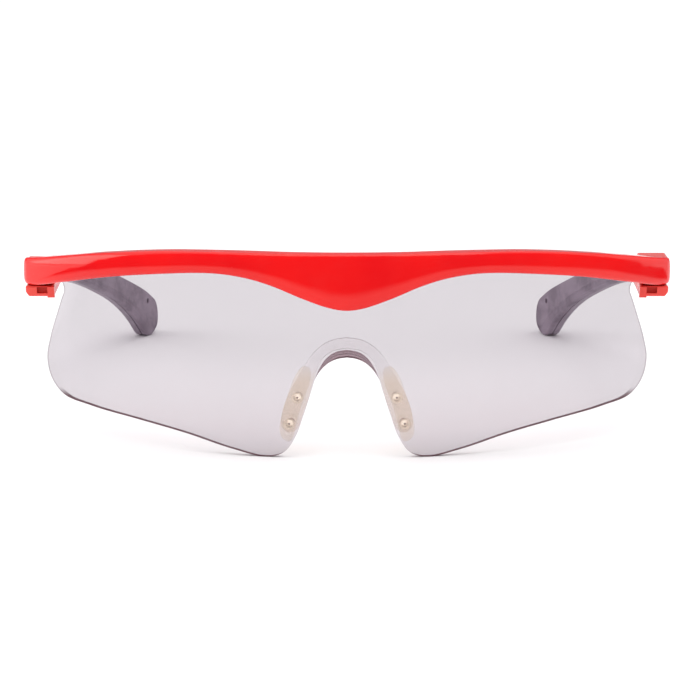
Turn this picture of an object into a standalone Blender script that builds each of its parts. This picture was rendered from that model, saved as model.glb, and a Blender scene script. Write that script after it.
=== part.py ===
"""Wrap-round protective glasses: one shield lens hung from a brow bar, and two folding temples.

The glasses stand as they do on a table, on the two lobes of the lens and the two temple tips.
-Y is the front, +Z is up, and +X is to the right seen from the front, so left and right are as seen
from there. Sizes are in millimetres. put_in_scene turns them into metres.
"""

from math import acos, asin, atan2, cos, pi, radians, sin, sqrt

import bmesh
import bpy
from mathutils import Vector

MM = 0.001
SIDES = {"left": -1, "right": 1}

# Clearances
FACE_GAP = 0.25  # between pieces that lie against each other
RUNNING_GAP = 0.1  # round a pin or a screw, on the radius
SWING_GAP = 0.3  # between a piece that turns and what it passes

# Overall sizes: what follows keeps its place on glasses of another width or length
BAR_HALF_WIDTH = 73.0
TIP_BACK = 144.8  # from the front of the lens to the start of the temple tip's rounding
NOSE_REACH = 18.0  # the nose cut is as wide on every size, up to here


def widened(points):
    """Moves points given round the lens, for half a width of 73 mm, to where this width has them."""
    more = 0.88 * (BAR_HALF_WIDTH - 73.0)
    return tuple((p[0] + more * max(0.0, (p[0] - NOSE_REACH) / (70.0 - NOSE_REACH)), *p[1:]) for p in points)


# Lens: a slice of an upright cylinder, measured round its front face
LENS_RADIUS = 90.0 * (BAR_HALF_WIDTH / 73.0) ** 2
LENS_THICKNESS = 2.0
LENS_TUCK = 2.5  # how far its top edge goes up into the bar
LENS_STEP = 4.0  # widest facet round the curve
EAR_REACH = widened([(73.0,)])[0][0]
EAR_NOTCH = (EAR_REACH - 0.9, 32.5)
EAR_NOTCH_RADIUS = 2.4
LENS_EDGE = widened((  # from the ear notch round the outer lobe and the low lobe to the top of the nose cut
    (70.3, 31.0), (72.2, 27.1), (75.0, 21.0), (76.3, 16.2), (74.9, 12.1), (70.6, 8.8),
    (61.5, 7.35), (48.0, 5.9), (36.0, 4.0), (25.0, 1.3), (17.5, 0.0), (13.6, 1.2),
    (11.4, 4.3), (9.6, 9.0), (7.9, 14.2), (6.7, 17.7), (4.7, 20.35), (2.4, 21.75), (0.0, 22.2),
))

# Brow bar: its edges are heights against the distance round the lens
BAR_TOP = widened(((0.0, 44.5), (12.0, 44.5), (24.0, 44.5), (37.5, 44.05), (48.0, 43.2), (59.5, 41.8),
                   (69.4, 40.3), (77.0, 39.1), (84.0, 38.3), (97.0, 38.2)))
BAR_BOTTOM = widened(((0.0, 32.4), (4.0, 33.0), (9.8, 35.0), (15.8, 37.4), (21.8, 39.0), (29.0, 39.7),
                      (38.4, 39.15), (54.2, 37.15), (69.4, 34.3), (80.0, 32.4), (95.0, 32.3)))
BAR_FRONT_WALL = 1.8  # in front of the lens
BAR_BACK_WALL = 1.2
BAR_CROWN = 1.3  # how far the front face falls back towards its edges
BAR_BACK_ROUND = 0.35
BAR_SQUARE = 0.55  # the front's section is oval in the middle, and squarer by this power at the ends
BAR_SQUARE_REACH = (BAR_HALF_WIDTH - 11.0, BAR_HALF_WIDTH + 7.0)
BAR_CORNER = 5.0
BAR_STEP = 3.0

# Fold hinge: an upright screw through the end of the bar and the two ears of the link
LINK_WIDTH = 6.4
LUG_RADIUS = 3.8
FOLD_BACK = 37.0  # distance behind the front of the lens
LUG_TOP = 35.15
LINK_FRONT = 33.0
LINK_LEAN = 0.8  # how much further back the foot of its front is
LINK_BOTTOM = 29.45
LINK_TOP = 37.5
EAR_PROUD = {"left": 0.0, "right": 0.8}  # the right-hand ear stands up past the bar
LINK_EDGE = 0.35
LINK_CHAMFER = 0.85  # along the outer lower edge
SCREW_RADIUS = 0.8
SCREW_HEAD_RADIUS = 1.6
SCREW_HEAD_DEPTH = 0.8
SCREW_SINK = 0.2
NUT_RADIUS = 1.7  # over its corners
NUT_DEPTH = 1.2
WINDOW_WIDTH = 2.4
WINDOW_HEIGHT = 1.5
WINDOW_DEPTH = 2.0
WINDOW_MIDDLE = (-0.55, 31.05)  # from the middle of the link, towards its outer side
FINGER_WIDTH = 1.6
FINGER_PROUD = 0.35
FINGER_SIDE = 0.1  # past the inner side of the link

# Tilt hinge: a level pin through the back of the link and the temple's tongue
TILT_BACK = 47.0
TILT_HEIGHT = 33.2
CHEEK_RADIUS = 3.2
TONGUE_RADIUS = 3.0
TONGUE_WIDTH = 2.9
TONGUE_GAP = 0.2  # each side of the tongue
CLICK_NOTCHES = 5
CLICK_DEPTH = 0.3
PIN_RADIUS = 0.8
PIN_SINK = 0.15

# Temple: its middle line, seen from the side, as (distance back, height, half height)
TEMPLE_FRONT = 50.7


def temple_place(share):
    """How far back the place is that has this share of the temple in front of it."""
    return TEMPLE_FRONT + share * (TIP_BACK - TEMPLE_FRONT)


TEMPLE_SIDE = tuple((temple_place(share), height, half) for share, height, half in (
    (0.0, 32.5, 2.9), (0.12, 30.8, 2.85), (0.269, 28.9, 2.9), (0.471, 25.0, 2.95),
    (0.651, 20.0, 3.0), (0.779, 15.8, 3.2), (0.875, 12.0, 3.8), (0.949, 8.4, 4.6)))
TIP_RADIUS = 5.2
TEMPLE_FRONT_WIDTH = 5.4
TEMPLE_WIDTH = 4.2
TEMPLE_TAPER = 16.0  # length over which it narrows behind the hinge
TEMPLE_OUTSIDE = BAR_HALF_WIDTH - 1.4
TEMPLE_BOW = 15.6  # how far the outside comes in, from front to tip
SHELL_WIDTH = 2.3
SHELL_ROUND = 0.9
PAD_START = temple_place(0.354)
PAD_PEGS = tuple(temple_place(share) for share in (0.439, 0.651, 0.853))
PAD_PEG_RADIUS = 0.7
CORD_HOLE = (TIP_BACK - 2.2, 9.6)
CORD_HOLE_RADIUS = 0.75

# Nose piece: (round the lens, height, depth behind the lens, width, depth) up one leg to the middle
BRIDGE_PATH = ((13.2, 4.9, 1.05, 3.8, 1.4), (12.3, 9.0, 1.05, 4.6, 1.4), (10.8, 13.0, 1.05, 4.5, 1.5),
               (9.1, 17.0, 1.45, 3.4, 2.0), (6.6, 21.6, 2.4, 2.4, 3.0), (3.6, 23.7, 3.0, 2.3, 3.6),
               (0.0, 24.4, 3.2, 2.3, 3.8))
STUDS = ((10.7, 13.3), (12.45, 7.5))
STUD_RADIUS = 0.8
STUD_HEAD_RADIUS = 1.25
STUD_HEAD_DEPTH = 0.5
STUD_DIMPLE_RADIUS = 0.5
NOSE_PAD_PATH = ((12.6, 2.0), (12.3, 5.0), (11.1, 9.5), (9.4, 14.0), (7.6, 18.6))  # of its inner edge
NOSE_PAD_WIDTH = 7.0
NOSE_PAD_THICKNESS = 2.0
NOSE_PAD_FLARE = radians(55)  # how steeply it runs back from the lens

ROUND_SEGMENTS = 20


def clear_scene():
    for old in list(bpy.data.objects):
        bpy.data.objects.remove(old)


def plastic(name, colour, roughness, transmission=0.0, metallic=0.0):
    material = bpy.data.materials.new(name)
    material.use_nodes = True
    shader = material.node_tree.nodes["Principled BSDF"]
    shader.inputs["Base Color"].default_value = (*colour, 1.0)
    shader.inputs["Roughness"].default_value = roughness
    shader.inputs["Metallic"].default_value = metallic
    shader.inputs["Transmission Weight"].default_value = transmission
    material.diffuse_color = (*colour, 1.0)
    return material


def put_in_scene(name, mesh, material, helper=False):
    """Makes an object from a bmesh in millimetres. A helper is a cutter or a joined piece, and isn't a part."""
    bmesh.ops.scale(mesh, vec=(MM, MM, MM), verts=mesh.verts)
    bmesh.ops.recalc_face_normals(mesh, faces=mesh.faces)
    data = bpy.data.meshes.new(name)
    mesh.to_mesh(data)
    mesh.free()
    made = bpy.data.objects.new(name, data)
    bpy.context.collection.objects.link(made)
    if material is not None:
        data.materials.append(material)
        data.shade_smooth()
        data.set_sharp_from_angle(angle=radians(35))
    if helper:
        made.hide_render = True
        made.display_type = "WIRE"
    return made


def boolean(target, helper, operation):
    modifier = target.modifiers.new(helper.name, "BOOLEAN")
    modifier.object = helper
    modifier.operation = operation
    modifier.solver = "EXACT"


def soften(target, width, angle=40):
    modifier = target.modifiers.new("soft_edges", "BEVEL")
    modifier.width = width * MM
    modifier.segments = 2
    modifier.limit_method = "ANGLE"
    modifier.angle_limit = radians(angle)


def smooth_value(points, x):
    """The height at x of a smooth curve through points, which is level past its ends."""
    x = min(max(x, points[0][0]), points[-1][0])
    last = len(points) - 1
    i = max(k for k in range(last) if points[k][0] <= x)

    def slope(k):
        before, after = points[max(k - 1, 0)], points[min(k + 1, last)]
        if k in (0, last):
            return 0.0
        return (after[1] - before[1]) / (after[0] - before[0])

    (x0, y0), (x1, y1) = points[i][:2], points[i + 1][:2]
    span = x1 - x0
    t = (x - x0) / span
    return ((2 * t**3 - 3 * t**2 + 1) * y0 + (t**3 - 2 * t**2 + t) * span * slope(i)
            + (3 * t**2 - 2 * t**3) * y1 + (t**3 - t**2) * span * slope(i + 1))


def smooth_path(points, steps):
    """A smooth curve through points, with steps pieces between each two (centripetal Catmull-Rom)."""
    points = [Vector(p) for p in points]
    first = points[0] * 2 - points[1]
    last = points[-1] * 2 - points[-2]
    points = [first, *points, last]
    path = []
    for a, b, c, d in zip(points, points[1:], points[2:], points[3:]):
        knots = [0.0]
        for p, q in ((a, b), (b, c), (c, d)):
            knots.append(knots[-1] + sqrt((q - p).length))
        for k in range(steps):
            t = knots[1] + (knots[2] - knots[1]) * k / steps
            ab, bc, cd = (
                p + (q - p) * ((t - knots[i]) / (knots[i + 1] - knots[i]))
                for i, (p, q) in enumerate(((a, b), (b, c), (c, d)))
            )
            abc = ab + (bc - ab) * ((t - knots[0]) / (knots[2] - knots[0]))
            bcd = bc + (cd - bc) * ((t - knots[1]) / (knots[3] - knots[1]))
            path.append(abc + (bcd - abc) * ((t - knots[1]) / (knots[2] - knots[1])))
    path.append(points[-2])
    return path


def facing(angle):
    """The level direction at this angle from straight ahead, turning towards +X."""
    return Vector((sin(angle), -cos(angle), 0))


def on_lens(along, height, proud=0.0):
    """A point at this distance round the lens from its middle, and this far in front of its front face."""
    point = Vector((0, LENS_RADIUS, height)) + facing(along / LENS_RADIUS) * (LENS_RADIUS + proud)
    return point


def loft(rings):
    """A closed solid through rings of the same number of points."""
    mesh = bmesh.new()
    rows = [[mesh.verts.new(p) for p in ring] for ring in rings]
    count = len(rows[0])
    for low, high in zip(rows, rows[1:]):
        for i in range(count):
            j = (i + 1) % count
            mesh.faces.new((low[i], low[j], high[j], high[i]))
    mesh.faces.new(rows[0][::-1])
    mesh.faces.new(rows[-1])
    return mesh


def prism(outline, along, start, end):
    """The outline's points are carried from start to end in the direction called along."""
    shift = Vector(along)
    flat = [Vector(p) for p in outline]
    return loft([[p + shift * start for p in flat], [p + shift * end for p in flat]])


def circle(centre, across, up, radius, segments=ROUND_SEGMENTS):
    across, up = Vector(across), Vector(up)
    turns = (2 * pi * k / segments for k in range(segments))
    return [Vector(centre) + across * (radius * cos(a)) + up * (radius * sin(a)) for a in turns]


def rod(centre, along, radius, start, end, segments=ROUND_SEGMENTS):
    """A round bar about the line through centre, from start to end along it."""
    along = Vector(along).normalized()
    across = along.orthogonal().normalized()
    ring = circle(centre, across, along.cross(across), radius, segments)
    return prism(ring, along, start, end)


def joined(*meshes):
    """One bmesh with the bodies of all of these, still apart."""
    whole = bmesh.new()
    for mesh in meshes:
        data = bpy.data.meshes.new("joined")
        mesh.to_mesh(data)
        mesh.free()
        whole.from_mesh(data)
        bpy.data.meshes.remove(data)
    return whole


def mirrored(points):
    return [Vector((-p[0], *p[1:])) for p in points]


# Brow bar


def bar_bottom(along):
    return smooth_value(BAR_BOTTOM, abs(along))


def bar_top(along):
    return smooth_value(BAR_TOP, abs(along))


def fold_axis(side):
    return Vector((side * (BAR_HALF_WIDTH - LUG_RADIUS), FOLD_BACK, 0))


def bar_front_path():
    """(point, way it faces) round the bar's front corner and lug, from where its back meets the lug."""
    front_radius = LENS_RADIUS + BAR_FRONT_WALL
    centre_x = BAR_HALF_WIDTH - BAR_CORNER
    centre_y = LENS_RADIUS - sqrt((front_radius - BAR_CORNER) ** 2 - centre_x**2)
    corner = Vector((centre_x, centre_y, 0))
    corner_start = atan2(centre_x, LENS_RADIUS - centre_y)
    middle = Vector((0, LENS_RADIUS, 0))
    start = lug_start_angle()
    path = [(middle + facing(a) * front_radius, facing(a)) for a in spread(start, corner_start, 4)]
    path += [(corner + facing(a) * BAR_CORNER, facing(a)) for a in spread(corner_start, pi / 2, 6)]
    path += [(fold_axis(1) + facing(a) * LUG_RADIUS, facing(a)) for a in spread(pi / 2, pi * 0.97, 9)]
    return path


def bar_back_path(count):
    """(point, way it faces) along the lug's inner side, in as many steps as the front takes."""
    back_radius = LENS_RADIUS - LENS_THICKNESS - BAR_BACK_WALL
    start = lug_start_angle()
    pivot = fold_axis(1)
    inner = pivot.x - LUG_RADIUS
    first = Vector((inner, LENS_RADIUS - back_radius * cos(start), 0))
    straight = count // 2
    inward = Vector((-1, 0, 0))
    path = [(first.lerp(Vector((inner, pivot.y, 0)), k / straight), inward) for k in range(straight)]
    path += [(pivot + facing(a) * LUG_RADIUS, facing(a))
             for a in spread(pi * 1.5, pi * 1.03, count - straight - 1)]
    return path


def lug_start_angle():
    back_radius = LENS_RADIUS - LENS_THICKNESS - BAR_BACK_WALL
    return asin((fold_axis(1).x - LUG_RADIUS) / back_radius)


def spread(start, end, steps):
    return [start + (end - start) * k / steps for k in range(steps + 1)]


def bar_section(front, front_way, back, back_way, along):
    """The ring of points round the bar at one place along it."""
    top, bottom = bar_top(along), bar_bottom(along)
    middle, half = (top + bottom) / 2, (top - bottom) / 2
    start, end = BAR_SQUARE_REACH
    power = 1 + (BAR_SQUARE - 1) * min(max((along - start) / (end - start), 0.0), 1.0)
    ring = []
    for turn in spread(-pi / 2, pi / 2, 8):
        point = front - front_way * (BAR_CROWN * (1 - max(cos(turn), 0.0) ** power))
        rise = abs(sin(turn)) ** power * (1 if turn > 0 else -1)
        ring.append(Vector((point.x, point.y, middle + half * rise)))
    for turn in spread(pi / 2, -pi / 2, 4):
        point = back - back_way * (BAR_BACK_ROUND * (1 - cos(turn)))
        ring.append(Vector((point.x, point.y, middle + half * sin(turn))))
    return ring


def bar_rings():
    """Rings from the middle of the bar to the back of its right-hand lug."""
    end = lug_start_angle()
    steps = round(end * LENS_RADIUS / BAR_STEP)
    rings = []
    for angle in spread(0, end, steps)[:-1]:
        along = angle * LENS_RADIUS
        rings.append(bar_section(
            on_lens(along, 0, BAR_FRONT_WALL), facing(angle),
            on_lens(along, 0, -LENS_THICKNESS - BAR_BACK_WALL), -facing(angle), along))
    front = bar_front_path()
    back = bar_back_path(len(front))
    along = end * LENS_RADIUS
    for i, ((point, way), (behind, behind_way)) in enumerate(zip(front, back)):
        if i:
            along += (point - front[i - 1][0]).length
        rings.append(bar_section(point, way, behind, behind_way, along))
    return rings


def lens_slot():
    """Cutter for the slot that holds the lens's top edge."""
    reach = EAR_REACH + FACE_GAP
    rings = []
    for along in spread(-reach, reach, round(2 * reach / BAR_STEP)):
        low = bar_bottom(along) - 4
        high = bar_bottom(along) + LENS_TUCK + FACE_GAP
        front, back = FACE_GAP, -LENS_THICKNESS - FACE_GAP
        rings.append([on_lens(along, low, front), on_lens(along, high, front),
                      on_lens(along, high, back), on_lens(along, low, back)])
    return loft(rings)


def ear_rebate(side):
    """Cutter that clears the link's upper ear through its whole swing."""
    pivot = fold_axis(side)
    radius = LINK_WIDTH / 2 + SWING_GAP
    far = 4 * LUG_RADIUS
    lip = radians(55)
    outline = [Vector((-far, -radius, 0))]
    outline += [facing(a) * radius for a in spread(0, lip, 6)]
    outline += [Vector((far, -radius * cos(lip), 0)), Vector((far, far, 0)), Vector((-far, far, 0))]
    outline = [pivot + Vector((side * p.x, p.y, 0)) for p in outline]
    return prism(outline, (0, 0, 1), LUG_TOP, LINK_TOP + far)


def make_brow_bar(red):
    half = bar_rings()
    other = [[Vector((-p.x, p.y, p.z)) for p in ring] for ring in half[:0:-1]]
    bar = put_in_scene("brow_bar", loft(other + half), red)
    slot = put_in_scene("cut_lens_slot", lens_slot(), None, helper=True)
    boolean(bar, slot, "DIFFERENCE")
    for name, side in SIDES.items():
        hole = rod(fold_axis(side), (0, 0, 1), SCREW_RADIUS + RUNNING_GAP, 20, 60)
        rebate = put_in_scene(f"cut_ear_rebate_{name}", ear_rebate(side), None, helper=True)
        bore = put_in_scene(f"cut_screw_bore_{name}", hole, None, helper=True)
        boolean(bar, rebate, "DIFFERENCE")
        boolean(bar, bore, "DIFFERENCE")
    return [bar]


# Lens


def lens_outline():
    """The lens's edge, flattened: distance round the front face, and height."""
    top = [Vector((s, bar_bottom(s) + LENS_TUCK)) for s in spread(0, EAR_REACH, 18)]
    notch = Vector(EAR_NOTCH)
    start = acos((EAR_REACH - notch.x) / EAR_NOTCH_RADIUS)
    arc = [notch + Vector((cos(a), sin(a))) * EAR_NOTCH_RADIUS
           for a in spread(start, radians(195), 6)]
    edge = smooth_path([arc[-1], *LENS_EDGE], 4)[1:]
    half = top + arc + edge
    return half + mirrored(half[-2:0:-1])


def stud_places():
    return [(side * s, z) for side in SIDES.values() for s, z in STUDS]


def flat_loop(mesh, points):
    verts = [mesh.verts.new((p[0], p[1], 0)) for p in points]
    return [mesh.edges.new((a, b)) for a, b in zip(verts, verts[1:] + verts[:1])]


def make_lens(tint):
    mesh = bmesh.new()
    edges = flat_loop(mesh, lens_outline())
    hole = STUD_RADIUS + RUNNING_GAP
    for s, z in stud_places():
        edges += flat_loop(mesh, [p.xy for p in circle((s, z, 0), (1, 0, 0), (0, 1, 0), hole, 12)])
    bmesh.ops.triangle_fill(mesh, use_beauty=True, edges=edges)
    widest = max(v.co.x for v in mesh.verts)
    for along in spread(-widest, widest, round(2 * widest / LENS_STEP))[1:-1]:
        everything = [*mesh.verts, *mesh.edges, *mesh.faces]
        bmesh.ops.bisect_plane(mesh, geom=everything, plane_co=(along, 0, 0), plane_no=(1, 0, 0))
    front = list(mesh.verts)
    grown = bmesh.ops.extrude_face_region(mesh, geom=list(mesh.faces), use_keep_orig=True)
    back = [item for item in grown["geom"] if isinstance(item, bmesh.types.BMVert)]
    for verts, proud in ((front, 0.0), (back, -LENS_THICKNESS)):
        for vert in verts:
            vert.co = on_lens(vert.co.x, vert.co.y, proud)
    return [put_in_scene("lens", mesh, tint)]


# Nose piece


def rounded_section(width, depth, segments=12):
    """Points of a soft-cornered oblong, as (across, through)."""
    ring = []
    for k in range(segments):
        a = 2 * pi * (k + 0.5) / segments
        c, s = cos(a), sin(a)
        ring.append((width / 2 * abs(c) ** 0.6 * (1 if c > 0 else -1),
                     depth / 2 * abs(s) ** 0.6 * (1 if s > 0 else -1)))
    return ring


def bridge_rings():
    half = smooth_path(BRIDGE_PATH, 3)
    path = half + [Vector((-p[0], *p[1:])) for p in half[-2::-1]]
    rings = []
    for i, (s, z, behind, width, depth) in enumerate(path):
        before, after = path[max(i - 1, 0)], path[min(i + 1, len(path) - 1)]
        run = Vector((after[0] - before[0], after[1] - before[1])).normalized()
        across = Vector((run.y, -run.x))
        ends = min(i, len(path) - 1 - i)
        grown = 0.55 if ends == 0 else 0.9 if ends == 1 else 1.0
        rings.append([
            on_lens(s + across.x * w, z + across.y * w, -LENS_THICKNESS - behind + d)
            for w, d in rounded_section(width * grown, depth)])
    return rings


def make_nose_bridge(clear):
    bridge = put_in_scene("nose_bridge", loft(bridge_rings()), clear)
    for i, (s, z) in enumerate(stud_places()):
        way = facing(s / LENS_RADIUS)
        foot = on_lens(s, z)
        head = STUD_HEAD_DEPTH + FACE_GAP
        shaft = rod(foot, way, STUD_RADIUS, -LENS_THICKNESS - 1.2, 0.5 * head + FACE_GAP, 12)
        cap = rod(foot, way, STUD_HEAD_RADIUS, FACE_GAP, head, 16)
        for name, mesh in (("shaft", shaft), ("cap", cap)):
            helper = put_in_scene(f"join_stud_{name}_{i}", mesh, None, helper=True)
            boolean(bridge, helper, "UNION")
        dimple = rod(foot, way, STUD_DIMPLE_RADIUS, head - 0.3, head + 1, 12)
        helper = put_in_scene(f"cut_stud_dimple_{i}", dimple, None, helper=True)
        boolean(bridge, helper, "DIFFERENCE")
    return [bridge]


def make_nose_pad(name, side, soft):
    path = smooth_path(NOSE_PAD_PATH, 3)
    leg_back = max(behind + depth / 2 for _, _, behind, _, depth in BRIDGE_PATH[:4])
    start = LENS_THICKNESS + leg_back + FACE_GAP
    rings = []
    for i, (s, z) in enumerate(path):
        ends = min(i, len(path) - 1 - i)
        grown = (0.6, 0.85, 0.95)[ends] if ends < 3 else 1.0
        ring = []
        for w, d in rounded_section(NOSE_PAD_WIDTH * grown, NOSE_PAD_THICKNESS * min(1, grown + 0.2)):
            run = w + NOSE_PAD_WIDTH / 2
            outward = run * cos(NOSE_PAD_FLARE) + d * sin(NOSE_PAD_FLARE)
            back = start + NOSE_PAD_THICKNESS / 4 + run * sin(NOSE_PAD_FLARE) - d * cos(NOSE_PAD_FLARE)
            ring.append(on_lens(side * (s + outward), z, -back))
        rings.append(ring)
    return [put_in_scene(f"nose_pad_{name}", loft(rings), soft)]


# Hinge link, screw, nut and pin


def lower_ear_top():
    return BAR_BOTTOM[-1][1] - FACE_GAP


def link_profile(top):
    """The link from the side, as points with a distance back and a height."""
    slot_back = FOLD_BACK + LUG_RADIUS + SWING_GAP
    ear_front = FOLD_BACK - LINK_WIDTH / 2
    pin = Vector((0, TILT_BACK, TILT_HEIGHT))
    heel = [(0, LINK_FRONT + LINK_LEAN, LINK_BOTTOM + 0.1), (0, FOLD_BACK - 0.8, LINK_BOTTOM)]
    cheek = [pin + Vector((0, sin(a), -cos(a))) * CHEEK_RADIUS for a in spread(0, pi, 10)]
    crown = [(0, TILT_BACK - 5.5, top), (0, ear_front, top)]
    fork = [(0, ear_front, LUG_TOP + FACE_GAP), (0, slot_back, LUG_TOP + FACE_GAP),
            (0, slot_back, lower_ear_top()), (0, LINK_FRONT, lower_ear_top())]
    return [Vector(p) for p in (*heel, *cheek, *crown, *fork)]


def ear_corner_cutter(pivot, side):
    """Rounds the front of the upper ear about the screw: a block with a round bite out of it."""
    radius = LINK_WIDTH / 2
    far = radius + 1.5
    bite = [facing(a) * radius for a in spread(-pi / 2, pi / 2, 12)]
    block = [Vector((far, 0, 0)), Vector((far, -far, 0)), Vector((-far, -far, 0)), Vector((-far, 0, 0))]
    outline = [pivot + Vector((side * p.x, p.y, 0)) for p in bite + block]
    return prism(outline, (0, 0, 1), LUG_TOP - 1, LINK_TOP + 2)


def chamfer_cutter(outer, side):
    """Takes off the link's outer lower edge, which is the one that is seen from the front."""
    rise = 1.5 * LINK_CHAMFER
    corner = Vector((outer, 0, LINK_BOTTOM))
    outline = [corner + Vector((side * x * LINK_CHAMFER, 0, z * rise)) for x, z in ((1, 2), (-2, -1), (1, -1))]
    return prism(outline, (0, 1, 0), LINK_FRONT - 3, TILT_BACK + 2 * CHEEK_RADIUS)


def box_between(low, high):
    (x0, y0, z0), (x1, y1, z1) = low, high
    return prism([(x0, y0, 0), (x1, y0, 0), (x1, y1, 0), (x0, y1, 0)], (0, 0, 1), z0, z1)


def make_hinge_link(name, side, red):
    pivot = fold_axis(side)
    left, right = pivot.x - LINK_WIDTH / 2, pivot.x + LINK_WIDTH / 2
    profile = link_profile(LINK_TOP + EAR_PROUD[name])
    link = put_in_scene(f"hinge_link_{name}", prism(profile, (1, 0, 0), left, right), red)
    soften(link, LINK_EDGE)
    inner = pivot.x - side * LINK_WIDTH / 2
    finger_edges = sorted((inner - side * FINGER_SIDE, inner + side * (FINGER_WIDTH - FINGER_SIDE)))
    head, foot = LINK_FRONT - FINGER_PROUD, LINK_FRONT - FINGER_PROUD + LINK_LEAN
    high, low = lower_ear_top() - 0.15, LINK_BOTTOM - 0.1
    outline = [Vector((0, y, z)) for y, z in (
        (head, high), (foot, low), (LINK_FRONT + 1.6, low), (LINK_FRONT + 1.6, high))]
    finger = prism(outline, (1, 0, 0), *finger_edges)
    boolean(link, put_in_scene(f"join_finger_{name}", finger, None, helper=True), "UNION")
    middle = pivot.x + side * WINDOW_MIDDLE[0]
    window = box_between(
        (middle - WINDOW_WIDTH / 2, LINK_FRONT - 1, WINDOW_MIDDLE[1] - WINDOW_HEIGHT / 2),
        (middle + WINDOW_WIDTH / 2, LINK_FRONT + WINDOW_DEPTH, WINDOW_MIDDLE[1] + WINDOW_HEIGHT / 2))
    reach = TONGUE_WIDTH / 2 + TONGUE_GAP
    clevis = box_between(
        (pivot.x - reach, TILT_BACK - TONGUE_RADIUS - SWING_GAP - 0.1, LINK_BOTTOM - 2),
        (pivot.x + reach, TILT_BACK + 2 * CHEEK_RADIUS, LINK_TOP + 2))
    head_roof = LINK_BOTTOM + SCREW_SINK + SCREW_HEAD_DEPTH + FACE_GAP
    nut_roof = nut_bottom() + NUT_DEPTH + FACE_GAP / 2
    cutters = {
        "ear": ear_corner_cutter(pivot, side),
        "chamfer": chamfer_cutter(pivot.x + side * LINK_WIDTH / 2, side),
        "window": window,
        "clevis": clevis,
        "screw": rod(pivot, (0, 0, 1), SCREW_RADIUS + RUNNING_GAP, 20, LUG_TOP),
        "head": rod(pivot, (0, 0, 1), SCREW_HEAD_RADIUS + RUNNING_GAP, 20, head_roof),
        "nut": rod(pivot, (0, 0, 1), NUT_RADIUS + RUNNING_GAP, LUG_TOP, nut_roof, 6),
        "pin": rod((0, TILT_BACK, TILT_HEIGHT), (1, 0, 0), PIN_RADIUS + RUNNING_GAP, left - 5, right + 5),
    }
    for use, mesh in cutters.items():
        boolean(link, put_in_scene(f"cut_link_{use}_{name}", mesh, None, helper=True), "DIFFERENCE")
    return [link]


def nut_bottom():
    """The nut is caught between the lug and the upper ear, in a recess under the ear."""
    return LUG_TOP + FACE_GAP + 0.05


def make_hinge_screw(name, side, steel):
    """The screw goes in from below, through the lower ear and the lug, into the nut."""
    pivot = fold_axis(side)
    low = LINK_BOTTOM + SCREW_SINK
    neck = low + SCREW_HEAD_DEPTH
    sections = (
        (low, SCREW_HEAD_RADIUS - 0.45), (low + 0.3, SCREW_HEAD_RADIUS), (neck, SCREW_HEAD_RADIUS),
        (neck, SCREW_RADIUS), (nut_bottom() + NUT_DEPTH - 0.1, SCREW_RADIUS))
    rings = [circle(pivot + Vector((0, 0, z)), (1, 0, 0), (0, 1, 0), r) for z, r in sections]
    screw = put_in_scene(f"hinge_screw_{name}", loft(rings), steel)
    slot = box_between(
        (pivot.x - 0.25, pivot.y - 2 * SCREW_HEAD_RADIUS, low - 1),
        (pivot.x + 0.25, pivot.y + 2 * SCREW_HEAD_RADIUS, low + 0.45))
    boolean(screw, put_in_scene(f"cut_screw_slot_{name}", slot, None, helper=True), "DIFFERENCE")
    return [screw]


def make_hinge_nut(name, side, brass):
    low = nut_bottom()
    pivot = fold_axis(side)
    nut = put_in_scene(f"hinge_nut_{name}", rod(pivot, (0, 0, 1), NUT_RADIUS, low, low + NUT_DEPTH, 6), brass)
    bore = rod(pivot, (0, 0, 1), SCREW_RADIUS + RUNNING_GAP / 2, low - 2, low + NUT_DEPTH + 2)
    boolean(nut, put_in_scene(f"cut_nut_bore_{name}", bore, None, helper=True), "DIFFERENCE")
    return [nut]


def make_tilt_pin(name, side, steel):
    pivot = fold_axis(side)
    half = LINK_WIDTH / 2 - PIN_SINK
    pin = rod((pivot.x, TILT_BACK, TILT_HEIGHT), (1, 0, 0), PIN_RADIUS, -half, half)
    return [put_in_scene(f"tilt_pin_{name}", pin, steel)]


# Temple


def temple_middle(back):
    """Height of the temple's middle line and half its height, this far back."""
    points = [*TEMPLE_SIDE, (TIP_BACK, TIP_RADIUS, TIP_RADIUS)]
    middle = smooth_path(points, 6)
    i = max((k for k in range(len(middle) - 1) if middle[k][0] <= back), default=0)
    share = min(max((back - middle[i][0]) / (middle[i + 1][0] - middle[i][0]), 0.0), 1.0)
    here = middle[i].lerp(middle[i + 1], share)
    return here[1], here[2]


def temple_outside(back):
    share = (back - TEMPLE_FRONT) / (TIP_BACK - TEMPLE_FRONT)
    return TEMPLE_OUTSIDE - TEMPLE_BOW * share**1.9


def temple_width(back):
    share = min(1.0, (back - TEMPLE_FRONT) / TEMPLE_TAPER)
    return TEMPLE_FRONT_WIDTH + (TEMPLE_WIDTH - TEMPLE_FRONT_WIDTH) * sin(share * pi / 2)


def temple_frame(back):
    """Outer point, inward way and upward way of the temple's section this far back."""
    ahead, behind = max(back - 0.5, TEMPLE_FRONT), min(back + 0.5, TIP_BACK)
    run = Vector((temple_outside(behind) - temple_outside(ahead), behind - ahead,
                  temple_middle(behind)[0] - temple_middle(ahead)[0])).normalized()
    inward = Vector((-run.y, run.x, 0)).normalized()
    upward = inward.cross(run).normalized()
    if upward.z < 0:
        upward = -upward
    return Vector((temple_outside(back), back, temple_middle(back)[0])), inward, upward, run


def shell_section(half, inner, corner):
    soft = min(SHELL_ROUND, 0.45 * half)
    round_in = min(corner, 0.45 * half)
    upper = [(0.0, 0.35 * half), (0.12 * soft, half - 1.1 * soft), (0.4 * soft, half - 0.45 * soft),
             (soft, half), (inner - round_in, half), (inner, half - round_in)]
    return upper + [(a, -b) for a, b in reversed(upper)]


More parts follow.
